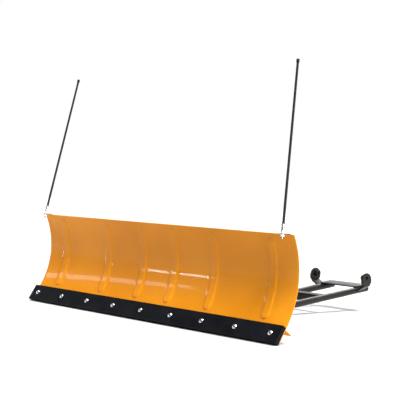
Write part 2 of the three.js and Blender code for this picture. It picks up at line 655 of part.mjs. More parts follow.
function clampHandle() {
  const bore = CLAMP_RADIUS + GAP;
  const hub = [[bore, 0], [17, 0], [17, 3], [12, 5], [12, 28], [10, 30], [bore, 30], [bore, 0]];
  const body = turned(hub, vec(0, clampY, clampSeat), vec(0, 0, 1), 24);
  const grip = [[0, 10], [4.5, 10], [4.5, 42], [7, 44], [7, 53], [5, 56], [0, 56]];
  const bars = [1, -1].map((sign) => turned(grip, vec(0, clampY, clampSeat + 17), vec(sign, 0, 0), 14));
  return join([body, ...bars]);
}
add(pushFrame, "clamp_handle", clampHandle(), blackPaint);

// Lift loop for the winch hook: two uprights and a bow between them.
function liftLoop() {
  const { half, y, upright, wire } = LIFT_LOOP;
  const low = UPPER_PLATE.high + GAP;
  const knee = low + upright;
  const pull = knee + half * 1.3;
  const path = new THREE.CurvePath();
  path.add(new THREE.LineCurve3(vec(-half, y, low), vec(-half, y, knee)));
  const bow = [vec(-half, y, knee), vec(-half, y, pull), vec(half, y, pull), vec(half, y, knee)];
  path.add(new THREE.CubicBezierCurve3(...bow));
  path.add(new THREE.LineCurve3(vec(half, y, knee), vec(half, y, low)));
  const section = new THREE.Shape().absarc(0, 0, wire, 0, Math.PI * 2, false);
  const settings = { steps: 30, curveSegments: 5, bevelEnabled: false, extrudePath: path };
  return new THREE.ExtrudeGeometry(section, settings);
}
add(pushFrame, "lift_loop", liftLoop(), blackPaint);

function crossMember() {
  const { leg, wall } = CROSS_MEMBER;
  const top = TUBE_RADIUS - 1;
  const corners = [[0, top - leg], [wall, top - leg], [wall, top - wall]];
  const outline = outlineOf([...corners, [leg, top - wall], [leg, top], [0, top]]);
  const reach = TUBE_X - 2;
  const bar = sloped(standing(outline, -reach, reach), CROSS_MEMBER.y);
  const saddle = (x) => round(tubeAxis(x, 800), tubeAxis(x, 1100), TUBE_RADIUS + GAP, 24);
  return cut(bar, [saddle(-TUBE_X), saddle(TUBE_X)]);
}
add(pushFrame, "cross_member", crossMember(), blackPaint);

function rearPlate() {
  const { half, front, rear, thickness } = REAR_PLATE;
  const outline = outlineOf([[-half, 0], [half, 0], [half, rear - front], [-half, rear - front]]);
  const low = TUBE_RADIUS + GAP;
  return sloped(lying(outline, low, low + thickness), front);
}
add(pushFrame, "rear_plate", rearPlate(), blackPaint);

// Each ear is an upright with rounded lower corners, a pin bush through it, and a foot that slopes down
// to the tube.
function ear(sign) {
  const { x, thickness, half, low, height, corner } = EAR;
  const upright = new THREE.Shape();
  upright.absarc(half - corner, low + corner, corner, -Math.PI / 2, 0, false);
  upright.absarc(0, height - half, half, 0, Math.PI, false);
  upright.absarc(corner - half, low + corner, corner, Math.PI, Math.PI * 1.5, false);
  upright.closePath();
  const inner = sign * (TUBE_X + 9);
  const outer = sign * (x + thickness);
  const plate = standing(upright, sign * x, outer, 16);
  const under = [[inner, -6], [outer, low - 2], [outer, low + 9]];
  const strap = outlineOf([...under, [sign * x, low + 9], [sign * x, low + 6], [inner, 2]]);
  const foot = new THREE.ExtrudeGeometry(strap, { depth: 2 * EAR_STRAP_HALF, bevelEnabled: false });
  foot.rotateX(Math.PI / 2).translate(0, EAR_STRAP_HALF, 0);
  const bushEnd = vec(outer, 0, EAR_BUSH.height);
  const bush = round(vec(outer - sign * EAR_BUSH.length, 0, EAR_BUSH.height), bushEnd, EAR_BUSH.radius, 24);
  const bore = round(vec(0, 0, EAR_BUSH.height), vec(2 * outer, 0, EAR_BUSH.height), EAR_BUSH.bore, 20);
  const made = sloped(cut(join([plate, foot, bush]), [bore]), EAR.y);
  const tubeLine = [tubeAxis(sign * TUBE_X, 1000), tubeAxis(sign * TUBE_X, TUBE_REAR + 40)];
  return cut(made, [round(...tubeLine, TUBE_RADIUS + GAP, 24)]);
}

for (const [side, sign] of Object.entries(sides)) {
  add(pushFrame, `${side}_push_tube`, pushTube(sign * TUBE_X), blackPaint);
  const plate = standing(sidePlate(), sign * SIDE_PLATE.inner, sign * SIDE_PLATE.outer);
  add(pushFrame, `${side}_side_plate`, plate, blackPaint);
  add(pushFrame, `${side}_ear`, ear(sign), blackPaint);
}

// ---- Origin at the centre of the bounding box's bottom face ----
const bounds = new THREE.Box3().setFromObject(root);
root.position.y = -(bounds.min.y + bounds.max.y) / 2;

export default root;
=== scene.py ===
import json
import math
from math import cos, hypot, radians, sin, tan, tau

import bmesh
import bpy
from mathutils import Matrix, Vector, noise


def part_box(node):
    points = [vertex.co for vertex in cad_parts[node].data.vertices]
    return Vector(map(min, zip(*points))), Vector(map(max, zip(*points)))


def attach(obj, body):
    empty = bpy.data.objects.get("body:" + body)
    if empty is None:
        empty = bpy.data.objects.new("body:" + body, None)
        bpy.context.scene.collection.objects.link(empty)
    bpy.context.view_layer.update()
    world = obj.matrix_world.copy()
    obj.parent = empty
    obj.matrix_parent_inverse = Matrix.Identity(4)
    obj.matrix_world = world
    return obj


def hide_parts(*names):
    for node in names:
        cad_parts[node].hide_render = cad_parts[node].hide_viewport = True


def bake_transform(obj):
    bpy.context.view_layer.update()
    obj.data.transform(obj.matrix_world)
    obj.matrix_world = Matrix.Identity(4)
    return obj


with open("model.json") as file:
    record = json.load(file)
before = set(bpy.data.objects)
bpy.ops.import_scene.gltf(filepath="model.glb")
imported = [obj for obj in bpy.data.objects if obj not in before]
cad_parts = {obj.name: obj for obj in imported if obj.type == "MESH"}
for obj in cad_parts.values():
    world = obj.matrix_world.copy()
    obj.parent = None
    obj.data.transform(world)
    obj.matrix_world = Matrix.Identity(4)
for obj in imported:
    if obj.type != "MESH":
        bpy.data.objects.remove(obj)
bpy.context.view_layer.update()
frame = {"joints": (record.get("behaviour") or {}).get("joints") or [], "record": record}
scene = bpy.context.scene

# ---- The design's frame ----
# Shapes are drawn in millimetres, with y = 0 at the deepest point of the blade's curve and
# z = 0 on the ground.
MM = 0.001
KING_Y = 460.0
joints = {joint["name"]: joint for joint in frame["joints"]}
SHIFT = KING_Y - joints["blade_angle"]["pos_m"][1] / MM
TRIP_Y = joints["blade_trip"]["pos_m"][1] / MM + SHIFT
TRIP_Z = joints["blade_trip"]["pos_m"][2] / MM
CLAMP_Y = joints["clamp_turn"]["pos_m"][1] / MM + SHIFT
SIDES = {"left": -1, "right": 1}
UP = (0, 0, 1)
KING = (0, KING_Y, 0)


def metres(point):
    return Vector((point[0], point[1] - SHIFT, point[2])) * MM


def placed(name, data):
    """A new object in the scene."""
    made = bpy.data.objects.new(name, data)
    scene.collection.objects.link(made)
    return made


def node_box(node):
    """A CAD node's lowest and highest corner in the design's millimetres."""
    low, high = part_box(node)
    shift = Vector((0, SHIFT, 0))
    return low / MM + shift, high / MM + shift


# ---- Camera: the photograph's viewing angle ----
VIEW_AZIMUTH = 45.87
VIEW_ELEVATION = 0.19
VIEW_ROLL = 3.10
VIEW_FROM = (3277.42, -2963.99, 521.10)
LENS = 95.4


def make_camera():
    azimuth, elevation, roll = (radians(v) for v in (VIEW_AZIMUTH, VIEW_ELEVATION, VIEW_ROLL))
    back = Vector((sin(azimuth), -cos(azimuth), 0)) * cos(elevation)
    back.z = sin(elevation)
    right = Vector((cos(azimuth), sin(azimuth), 0))
    up = back.cross(right)
    turned_right = right * cos(roll) + up * sin(roll)
    turned_up = up * cos(roll) - right * sin(roll)
    data = bpy.data.cameras.new("camera")
    data.lens = LENS
    data.sensor_width = 36
    data.clip_end = 200
    camera = placed("camera", data)
    axes = Matrix((turned_right, turned_up, back)).transposed().to_4x4()
    camera.matrix_world = Matrix.Translation(metres(VIEW_FROM)) @ axes
    scene.camera = camera


make_camera()


# ---- Materials ----
# The Mix node's sockets for colours
MIX_AMOUNT, MIX_FIRST, MIX_SECOND, MIX_RESULT = 0, 6, 7, 2


class Look:
    """A Principled material with procedural colour, roughness and bump in the object's own metres."""

    def __init__(self, name, **sockets):
        self.material = bpy.data.materials.new(name)
        self.material.use_nodes = True
        self.tree = self.material.node_tree
        self.shader = self.tree.nodes["Principled BSDF"]
        for socket, value in sockets.items():
            self.shader.inputs[socket.replace("_", " ")].default_value = value
        self.place = self.tree.nodes.new("ShaderNodeTexCoord").outputs["Object"]
        self.height = None

    def node(self, kind, *links, **settings):
        made = self.tree.nodes.new(kind)
        for name, value in settings.items():
            setattr(made, name, value)
        for source, target in links:
            socket = made.inputs[target]
            if isinstance(source, bpy.types.NodeSocket):
                self.tree.links.new(source, socket)
            else:
                socket.default_value = source
        return made

    def noise(self, scale, detail=2.0, stretch=(1, 1, 1), roughness=0.5):
        mapped = self.node("ShaderNodeMapping", (self.place, "Vector"), (stretch, "Scale"))
        links = [(mapped.outputs[0], "Vector"), (scale, "Scale"), (detail, "Detail")]
        return self.node("ShaderNodeTexNoise", *links, (roughness, "Roughness")).outputs["Fac"]

    def cells(self, scale, output="Distance"):
        made = self.node("ShaderNodeTexVoronoi", (self.place, "Vector"), (scale, "Scale"))
        return made.outputs[output]

    def spread(self, source, low, high, out_low=0.0, out_high=1.0):
        links = [(source, "Value"), (low, "From Min"), (high, "From Max")]
        links += [(out_low, "To Min"), (out_high, "To Max")]
        return self.node("ShaderNodeMapRange", *links).outputs["Result"]

    def blend(self, amount, first, second):
        links = [(amount, MIX_AMOUNT)]
        for value, index in ((first, MIX_FIRST), (second, MIX_SECOND)):
            is_link = isinstance(value, bpy.types.NodeSocket)
            links.append((value if is_link else (*value, 1.0), index))
        return self.node("ShaderNodeMix", *links, data_type="RGBA").outputs[MIX_RESULT]

    def colour(self, source):
        self.tree.links.new(source, self.shader.inputs["Base Color"])

    def rough(self, source):
        self.tree.links.new(source, self.shader.inputs["Roughness"])

    def bump(self, source, depth):
        """Adds a relief of that depth in millimetres."""
        links = [(source, "Height"), (1.0, "Strength"), (depth * MM, "Distance")]
        if self.height is not None:
            links.append((self.height, "Normal"))
        self.height = self.node("ShaderNodeBump", *links).outputs["Normal"]
        self.tree.links.new(self.height, self.shader.inputs["Normal"])


def orange_paint():
    """Gloss powder coat: a fine orange peel, slow changes of tone, a few faint scuffs and dust."""
    look = Look("orange_paint", Coat_Weight=0.17, Coat_Roughness=0.06, Specular_IOR_Level=0.06)
    tone = look.spread(look.noise(3.2, 3.0), 0.35, 0.65)
    base = look.blend(tone, (0.63, 0.218, 0.007), (0.70, 0.256, 0.012))
    dust = look.spread(look.noise(420.0, 3.0), 0.62, 0.74, 0.0, 0.14)
    base = look.blend(dust, base, (0.78, 0.42, 0.12))
    scuff = look.spread(look.noise(26.0, 6.0, (1, 6, 6), 0.7), 0.68, 0.80, 0.0, 0.12)
    look.colour(look.blend(scuff, base, (0.46, 0.15, 0.010)))
    look.rough(look.spread(look.noise(38.0, 4.0), 0.3, 0.7, 0.26, 0.40))
    look.bump(look.noise(9.0, 1.0), 1.1)
    look.bump(look.noise(34.0, 1.0), 0.42)
    look.bump(look.noise(330.0, 1.0), 0.10)
    return look.material


def black_rubber():
    """Moulded rubber: dull, faintly blue, with a fine grain, flow marks and grey scrapes."""
    look = Look("black_rubber", Specular_IOR_Level=0.09)
    tone = look.spread(look.noise(14.0, 5.0), 0.35, 0.7)
    base = look.blend(tone, (0.0025, 0.003, 0.0045), (0.006, 0.007, 0.0095))
    scrape = look.spread(look.noise(60.0, 6.0, (0.25, 3, 3), 0.7), 0.62, 0.76, 0.0, 0.5)
    look.colour(look.blend(scrape, base, (0.026, 0.027, 0.030)))
    look.rough(look.spread(look.noise(90.0, 4.0), 0.3, 0.7, 0.42, 0.62))
    look.bump(look.noise(900.0, 2.0), 0.05)
    look.bump(look.noise(24.0, 2.0), 0.35)
    return look.material


def black_paint():
    """Semi-gloss black powder coat over steel, with a pebbled skin and slightly rubbed patches."""
    look = Look("black_paint", Coat_Weight=0.05, Coat_Roughness=0.2, Specular_IOR_Level=0.22)
    tone = look.spread(look.noise(9.0, 4.0), 0.35, 0.7)
    base = look.blend(tone, (0.0060, 0.0046, 0.0034), (0.013, 0.0101, 0.0076))
    rubbed = look.spread(look.noise(45.0, 7.0, roughness=0.7), 0.64, 0.8, 0.0, 0.4)
    look.colour(look.blend(rubbed, base, (0.05, 0.042, 0.036)))
    look.rough(look.spread(look.noise(55.0, 4.0), 0.3, 0.7, 0.34, 0.48))
    look.bump(look.cells(520.0), 0.06)
    look.bump(look.noise(30.0, 2.0), 0.25)
    return look.material


def marker_rod():
    """Pultruded fibreglass: black with fine fibres along the rod."""
    look = Look("marker_rod", Specular_IOR_Level=0.15)
    fibres = look.noise(260.0, 3.0, (6, 6, 0.12))
    tone = look.spread(fibres, 0.35, 0.7)
    look.colour(look.blend(tone, (0.006, 0.006, 0.007), (0.022, 0.022, 0.024)))
    look.rough(look.spread(fibres, 0.3, 0.7, 0.38, 0.58))
    look.bump(fibres, 0.08)
    return look.material


def zinc():
    """Bright zinc plate: faint crystals, cloudy sheen and darker hollows."""
    look = Look("zinc", Metallic=1.0)
    crystals = look.cells(480.0, "Color")
    tint = look.blend(0.10, (0.80, 0.81, 0.83), (0.62, 0.64, 0.68))
    look.colour(look.blend(look.spread(look.noise(160.0, 5.0), 0.35, 0.7), tint, (0.48, 0.50, 0.53)))
    grey = look.node("ShaderNodeRGBToBW", (crystals, "Color")).outputs[0]
    look.rough(look.spread(grey, 0.0, 1.0, 0.20, 0.38))
    look.bump(look.noise(700.0, 3.0), 0.03)
    return look.material


def spring_steel():
    """Oiled spring wire: dark grey with drawing lines and brownish stains."""
    look = Look("spring_steel", Metallic=0.85)
    stain = look.spread(look.noise(70.0, 5.0), 0.4, 0.7)
    look.colour(look.blend(stain, (0.16, 0.16, 0.165), (0.085, 0.075, 0.068)))
    look.rough(look.spread(look.noise(320.0, 4.0), 0.3, 0.7, 0.26, 0.46))
    look.bump(look.noise(850.0, 2.0), 0.03)
    return look.material


MAKERS = (orange_paint, black_rubber, black_paint, marker_rod, zinc, spring_steel)
MATERIALS = {make.__name__: make() for make in MAKERS}

# ---- Putting pieces into the frame ----
behaviour = frame["record"]["behaviour"]
BODY_OF = {node: body for body, nodes in behaviour["bodies"].items() for node in nodes}
SLOT_OF = {row["node"]: row["material_slot"] for row in frame["record"]["subparts"]}
SHARP_DEGREES = 38
MERGE_WITHIN = 0.002 * MM
NO_LENGTH = 0.001 * MM


def piece(name, shape, body, slot, sharp=SHARP_DEGREES):
    """A closed mesh from a shape's millimetres, in its slot's material, that rides on its body."""
    points, faces = shape
    mesh = bpy.data.meshes.new(name)
    mesh.from_pydata([metres(point) for point in points], [], faces)
    work = bmesh.new()
    work.from_mesh(mesh)
    bmesh.ops.remove_doubles(work, verts=work.verts, dist=MERGE_WITHIN)
    bmesh.ops.dissolve_degenerate(work, edges=work.edges, dist=NO_LENGTH)
    bmesh.ops.recalc_face_normals(work, faces=work.faces)
    work.to_mesh(mesh)
    work.free()
    mesh.shade_smooth()
    mesh.set_sharp_from_angle(angle=radians(sharp))
    mesh.materials.append(MATERIALS[slot])
    made = placed(name, mesh)
    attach(made, body)
    return made


def stand_in(name, node, shape, sharp=SHARP_DEGREES):
    """A fine piece that stands for one CAD node, on that node's body and in its slot."""
    made = piece(name, shape, BODY_OF[node], SLOT_OF[node], sharp)
    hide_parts(node)
    return made


# ---- Shapes: each is (points, faces) in the design's millimetres ----
def joined(*shapes):
    points, faces = [], []
    for more_points, more_faces in shapes:
        start = len(points)
        points += more_points
        faces += [[start + i for i in face] for face in more_faces]
    return points, faces


def moved(shape, matrix):
    points, faces = shape
    return [matrix @ Vector(point) for point in points], faces


def arc(a, b, radius, start, end, steps=16):
    """Points on a circle about (a, b), with angles in degrees."""
    angles = [radians(start + (end - start) * i / steps) for i in range(steps + 1)]
    return [(a + radius * cos(angle), b + radius * sin(angle)) for angle in angles]


def circle(a, b, radius, steps=40):
    return arc(a, b, radius, 0, 360, steps)[:-1]


def rounded(points, radius, steps=4, closed=True):
    """The outline with each real corner turned into a short curve."""
    out = []
    last = len(points) - 1
    for i, point in enumerate(points):
        here = Vector(point)
        back = Vector(points[i - 1]) - here
        ahead = Vector(points[(i + 1) % len(points)]) - here
        is_end = not closed and i in (0, last)
        if is_end or back.length < 0.01 or ahead.length < 0.01 or back.angle(-ahead) < radians(18):
            out.append(tuple(here))
            continue
        reach = min(radius, back.length * 0.45, ahead.length * 0.45)
        start = here + back.normalized() * reach
        end = here + ahead.normalized() * reach
        for k in range(steps + 1):
            t = k / steps
            out.append(tuple(start * (1 - t) ** 2 + here * 2 * t * (1 - t) + end * t * t))
    return out


def directed(loop, turn):
    """The loop anticlockwise for turn 1 and clockwise for turn -1."""
    area = sum(loop[i - 1][0] * loop[i][1] - loop[i][0] * loop[i - 1][1] for i in range(len(loop)))
    return loop if area * turn > 0 else loop[::-1]


def inset(loop, distance):
    """The loop moved into the plate's own material."""
    out = []
    for i, point in enumerate(loop):
        here = Vector(point)
        before = (here - Vector(loop[i - 1])).normalized()
        after = (Vector(loop[(i + 1) % len(loop)]) - here).normalized()
        left = Vector((-before.y - after.y, before.x + after.x))
        share = max(0.35, 1 + before.dot(after))
        out.append(here + left * (distance / share))
    return out


def plate(outline, holes, low, high, bevel=0.8):
    """A flat plate between two heights, rounded along its outline and holes."""
    quarter = [radians(angle) for angle in (0, 22.5, 45, 67.5, 90)]
    edge = [(bevel * (1 - sin(angle)), bevel * (1 - cos(angle))) for angle in quarter]
    profile = [(low + back, depth) for back, depth in edge[::-1]]
    profile += [(high - back, depth) for back, depth in edge]
    work = bmesh.new()
    rims = {0: [], len(profile) - 1: []}
    for loop in [directed(outline, 1)] + [directed(hole, -1) for hole in holes]:
        rings = []
        for height, depth in profile:
            rings.append([work.verts.new((p.x, p.y, height)) for p in inset(loop, depth)])
        for lower, upper in zip(rings, rings[1:]):
            for i in range(len(loop)):
                work.faces.new((lower[i - 1], lower[i], upper[i], upper[i - 1]))
        for level, edges in rims.items():
            ring = rings[level]
            edges += [work.edges.get((ring[i - 1], ring[i])) for i in range(len(ring))]
    for edges in rims.values():
        bmesh.ops.triangle_fill(work, edges=edges, use_beauty=True)
    work.verts.index_update()
    points = [vert.co.copy() for vert in work.verts]
    faces = [[vert.index for vert in face.verts] for face in work.faces]
    work.free()
    return points, faces


TO_YZ = Matrix(((0, 0, 1, 0), (1, 0, 0, 0), (0, 1, 0, 0), (0, 0, 0, 1)))


def standing(outline, holes, x0, x1, bevel=0.8):
    """A plate in the YZ plane between two X values. The outline's pairs are (y, z)."""
    return moved(plate(outline, holes, min(x0, x1), max(x0, x1), bevel), TO_YZ)


def walls(rings, sides):
    """The four-sided faces between closed rings of points that follow each other."""
    faces = []
    for i in range(rings - 1):
        for k in range(sides):
            a, b = i * sides + k, i * sides + (k + 1) % sides
            faces.append((a, b, b + sides, a + sides))
    return faces


def turning(direction):
    return Vector((0, 0, 1)).rotation_difference(Vector(direction)).to_matrix()


def lathe(profile, base, direction, sides=40, radius_at=None):
    """[radius, height] pairs turned about an axis. radius_at(angle, radius) makes it many-sided."""
    turn = turning(direction)
    base = Vector(base)
    points = []
    for radius, height in profile:
        for k in range(sides):
            angle = tau * k / sides
            reach = radius_at(angle, radius) if radius_at else radius
            spot = Vector((reach * cos(angle), reach * sin(angle), height))
            points.append(base + turn @ spot)
    return points, walls(len(profile), sides)


def hexagon(flats, base, direction, low, high, bore):
    """A hexagon nut or head with its corners chamfered by a cone at both ends."""
    def reach(angle, radius):
        corner = flats / 2 / cos((angle % radians(60)) - radians(30))
        return min(radius, corner)
    far = flats / 2 / cos(radians(30))
    rim = flats * 0.49
    chamfer = (far - rim) * 0.55
    profile = [(bore, low + 0.8), (bore + 0.8, low), (rim, low), (far, low + chamfer)]
    profile += [(far, high - chamfer), (rim, high), (bore + 0.8, high), (bore, high - 0.8)]
    if bore > 0:
        profile.append(profile[0])
    return lathe(profile, base, direction, 48, reach)


def thread(radius, start, end, pitch=1.75):
    """The zigzag profile of a thread between two heights."""
    out = []
    turns = max(1, round((end - start) / pitch))
    for i in range(turns):
        at = start + (end - start) * i / turns
        out += [(radius, at), (radius, at + pitch * 0.2), (radius - 0.7, at + pitch * 0.6)]
    return out


def swept(path, radius, sides=12, ripple=0.0):
    """A round bar along a path, with domed ends. ripple makes the ridges of a weld bead."""
    path = [Vector(point) for point in path]
    before, after = path[:1] + path[:-1], path[1:] + path[-1:]
    steps = [(end - start).normalized() for start, end in zip(before, after)]
    across = steps[0].orthogonal().normalized()
    body = []
    for i, (point, step) in enumerate(zip(path, steps)):
        across = (across - step * across.dot(step)).normalized()
        body.append((point, across, step.cross(across), 1 + ripple * (i % 2 - 0.5)))

    def dome(section, outwards):
        point, side, other, _ = section
        tips = ((0.35, 0.30), (0.8, 0.15))
        return [(point + outwards * radius * far, side, other, share) for share, far in tips]

    sections = dome(body[0], -steps[0]) + body + dome(body[-1], steps[-1])[::-1]
    points = []
    for at, side, other, scale in sections:
        for k in range(sides):
            angle = tau * k / sides
            points.append(at + (side * cos(angle) + other * sin(angle)) * radius * scale)
    faces = walls(len(sections), sides)
    faces.append(list(range(sides))[::-1])
    last = (len(sections) - 1) * sides
    faces.append([last + k for k in range(sides)])
    return points, faces


def bead(path, radius=2.4, pitch=1.6):
    """A weld bead along a path of points."""
    path = [Vector(point) for point in path]
    fine = []
    for start, end in zip(path, path[1:]):
        count = max(1, round((end - start).length / pitch))
        fine += [start.lerp(end, i / count) for i in range(count)]
    fine.append(path[-1])
    return swept(fine, radius, 8, 0.22)


# ---- The blade's section ----
CURVE_RADIUS = 324.0
TOP_ANGLE = 28.9
BOTTOM_ANGLE = 32.5
SKIRT = 68.0
SHEET = 3.0
GAP = 0.3
RIB_CENTRES = (97.0, 330.0, 638.0)
RIB_HALF_WIDTH = 21.0
RIB_CROWN = 14.5
RIB_HEIGHT = 4.0
RIB_ANGLES = (-30.5, 25.5)
BAR_START = 7.5
BAR_WIDTH = 75.0
BAR_THICKNESS = 20.0
LEAN = radians(BOTTOM_ANGLE)
SKIRT_DOWN = Vector((-sin(LEAN), -cos(LEAN)))
SKIRT_BACK = Vector((cos(LEAN), -sin(LEAN)))
ARC_Z = CURVE_RADIUS * sin(LEAN) + (BAR_START + BAR_WIDTH) * cos(LEAN) - GAP * sin(LEAN)
HALF_WIDTH = node_box("moldboard")[1].x


def on_arc(degrees, offset=0.0):
    reach = CURVE_RADIUS + offset
    angle = radians(degrees)
    return Vector((reach * cos(angle) - CURVE_RADIUS, ARC_Z + reach * sin(angle)))


def on_skirt(distance, offset=0.0):
    return on_arc(-BOTTOM_ANGLE) + SKIRT_DOWN * distance + SKIRT_BACK * offset


def on_section(travel, offset):
    """A point of the sheet by its distance along the section: the skirt below 0, the arc above."""
    if travel < 0:
        return on_skirt(-travel, offset)
    return on_arc(-BOTTOM_ANGLE + math.degrees(travel / CURVE_RADIUS), offset)


def travel_at(degrees):
    return radians(degrees + BOTTOM_ANGLE) * CURVE_RADIUS


def smooth(value):
    value = min(1.0, max(0.0, value))
    return value * value * (3 - 2 * value)


RIB_FROM = travel_at(RIB_ANGLES[0]) + RIB_HALF_WIDTH
RIB_TO = travel_at(RIB_ANGLES[1]) - RIB_HALF_WIDTH
ALL_RIBS = [sign * x for sign in (-1, 1) for x in RIB_CENTRES]


def rib_height(x, travel):
    """How far the pressed ribs stand out in front: long crowns with round ends."""
    past = max(RIB_FROM - travel, travel - RIB_TO, 0.0)
    nearest = min(hypot(x - rib, past) for rib in ALL_RIBS)
    return RIB_HEIGHT * smooth((RIB_HALF_WIDTH - nearest) / (RIB_HALF_WIDTH - RIB_CROWN))


def spaced(low, high, wanted):
    count = max(1, math.ceil((high - low) / wanted))
    return [low + (high - low) * i / count for i in range(count)]


SHEET_STEP, RIB_STEP = 16, 1.5


def sheet_shape():
    rows = spaced(-SKIRT, 0, 8) + spaced(0, RIB_FROM + 4, 3)
    rows += spaced(RIB_FROM + 4, RIB_TO - 4, 6.5)
    rows += spaced(RIB_TO - 4, travel_at(TOP_ANGLE), 3) + [travel_at(TOP_ANGLE)]
    columns = []
    at = -HALF_WIDTH
    for rib in sorted(ALL_RIBS):
        near, far = rib - RIB_HALF_WIDTH, rib + RIB_HALF_WIDTH
        columns += spaced(at, near, SHEET_STEP) + spaced(near, far, RIB_STEP)
        at = far
    columns += spaced(at, HALF_WIDTH, SHEET_STEP) + [HALF_WIDTH]
    points = []
    for face in (0.0, SHEET):
        for x in columns:
            for travel in rows:
                y, z = on_section(travel, face - rib_height(x, travel))
                points.append((x, y, z))
    tall, count = len(rows), len(columns) * len(rows)
    faces = []
    for i in range(len(columns) - 1):
        for j in range(tall - 1):
            a, b = i * tall + j, (i + 1) * tall + j
            faces += [(a, b, b + 1, a + 1), (count + a, count + a + 1, count + b + 1, count + b)]
        for j in (0, tall - 1):
            a, b = i * tall + j, (i + 1) * tall + j
            faces.append((a, b, count + b, count + a))
    for j in range(tall - 1):
        for i in (0, len(columns) - 1):
            a = i * tall + j
            faces.append((a, a + 1, count + a + 1, count + a))
    return points, faces


def soften_edges(made, width, angle=50, segments=2):
    """Rounds a finished piece's sharp edges in its own mesh."""
    work = bmesh.new()
    work.from_mesh(made.data)
    folds = [edge for edge in work.edges if len(edge.link_faces) == 2]
    edges = [edge for edge in folds if edge.calc_face_angle(0.0) > radians(angle)]
    bmesh.ops.bevel(work, geom=edges, offset=width * MM, segments=segments, profile=0.5, affect="EDGES")
    work.to_mesh(made.data)
    work.free()
    made.data.shade_smooth()
    made.data.set_sharp_from_angle(angle=radians(SHARP_DEGREES))


soften_edges(stand_in("ribbed_sheet", "moldboard", sheet_shape()), 0.9)

# ---- Wear bar ----
bolts = [node_box(f"wear_bar_bolt_{i + 1}") for i in range(9)]
bolt_xs = [(low.x + high.x) / 2 for low, high in bolts]
BOLT_LINE = BAR_START + BAR_WIDTH / 2
BOLT_AXIS = (0, SKIRT_BACK.x, SKIRT_BACK.y)
HEAD_RADIUS = 10.0
HEAD_HEIGHT = 5.5
DENT_RADIUS, DENT_EDGE, DENT_DEPTH = 19, 7, 0.9
WAVE_DEPTH = 0.35
BAR_STEP, DENT_STEP = 14, 2.4
BOLT_RADIUS = 6.0


def on_bolt(x, offset):
    y, z = on_skirt(BOLT_LINE, offset)
    return Vector((x, y, z))


def bar_shape():
    """The bar's section along the blade, wavy in front and pressed in round each bolt head."""
    width, thick, corner = BAR_WIDTH, BAR_THICKNESS, 3.6
    section = [(0.0, 0.0)] + [(width * i / 4, 0.0) for i in range(1, 4)] + [(width, 0.0)]
    section += [(width, thick * 0.5), (width, thick)]
    section += [(width - width * i / 26, thick) for i in range(3, 24)]
    section += [(0.0, thick), (0.0, thick * 0.5)]
    section = rounded(section, corner, 4)
    columns = []
    at = -HALF_WIDTH
    for x in bolt_xs:
        columns += spaced(at, x - DENT_RADIUS, BAR_STEP)
        columns += spaced(x - DENT_RADIUS, x + DENT_RADIUS, DENT_STEP)
        at = x + DENT_RADIUS
    columns += spaced(at, HALF_WIDTH, BAR_STEP) + [HALF_WIDTH]
    points = []
    for x in columns:
        near = min(bolt_xs, key=lambda bolt: abs(bolt - x))
        end = smooth((HALF_WIDTH - abs(x)) / 3.0)
        for across, out in section:
            dent = wave = 0.0
            if out > thick - 1:
                inside = DENT_RADIUS - hypot(x - near, across - width / 2)
                dent = DENT_DEPTH * smooth(inside / DENT_EDGE)
                wave = WAVE_DEPTH * (0.5 + 0.5 * noise.noise((x / 45, across / 30, 0)))
            shrink = 0.8 * (1 - end)
            across += (width / 2 - across) / (width / 2) * shrink
            out += (thick / 2 - out) / (thick / 2) * shrink
            y, z = on_skirt(BAR_START + across, -GAP - out + dent + wave)
            points.append((x, y, z))
    around = len(section)
    faces = walls(len(columns), around)
    last = (len(columns) - 1) * around
    faces += [list(range(around)), [last + k for k in range(around)][::-1]]
    return points, faces


stand_in("rubber_bar", "wear_bar", bar_shape())

# ---- Bolts and nuts along the bar ----
for i, x in enumerate(bolt_xs):
    head_base = -2 * GAP - BAR_THICKNESS
    tip = HEAD_HEIGHT + SHEET + 16 - head_base
    dome_radius = (HEAD_RADIUS ** 2 + (HEAD_HEIGHT - 1) ** 2) / (2 * (HEAD_HEIGHT - 1))
    dome = []
    for k in range(9):
        radius = HEAD_RADIUS * k / 8
        dome.append((radius, dome_radius - math.sqrt(dome_radius ** 2 - radius ** 2)))
    profile = dome + [(HEAD_RADIUS, HEAD_HEIGHT - 0.4), (HEAD_RADIUS - 0.4, HEAD_HEIGHT)]
    profile += [(BOLT_RADIUS, HEAD_HEIGHT), (BOLT_RADIUS, 30)]
    profile += thread(BOLT_RADIUS, 30, tip - 1) + [(BOLT_RADIUS - 1, tip), (0, tip)]
    base = on_bolt(x, head_base - HEAD_HEIGHT)
    stand_in(f"domed_bolt_{i + 1}", f"wear_bar_bolt_{i + 1}", lathe(profile, base, BOLT_AXIS, 40))
    bore = BOLT_RADIUS + 0.3
    collar = [(bore, 0), (10.6, 0), (10.9, 0.5), (10.6, 1.3), (8.6, 2.2), (bore, 2.2), (bore, 0)]
    seat = on_bolt(x, SHEET + GAP)
    nut = joined(lathe(collar, seat, BOLT_AXIS, 40), hexagon(18, seat, BOLT_AXIS, 1.9, 10, bore))
    stand_in(f"flange_nut_{i + 1}", f"wear_bar_nut_{i + 1}", nut)

# ---- Flanges and gussets ----
FLANGE = 4.0
FLANGE_START = 15.0
TOP_FLANGE_ANGLE = 21.5


def flange(start, back, down, depth, half):
    corners = [start, start + back * depth, start + back * depth + down * FLANGE, start + down * FLANGE]
    return standing(rounded([tuple(c) for c in corners], 1.5, 3), [], -half, half, 0.7)


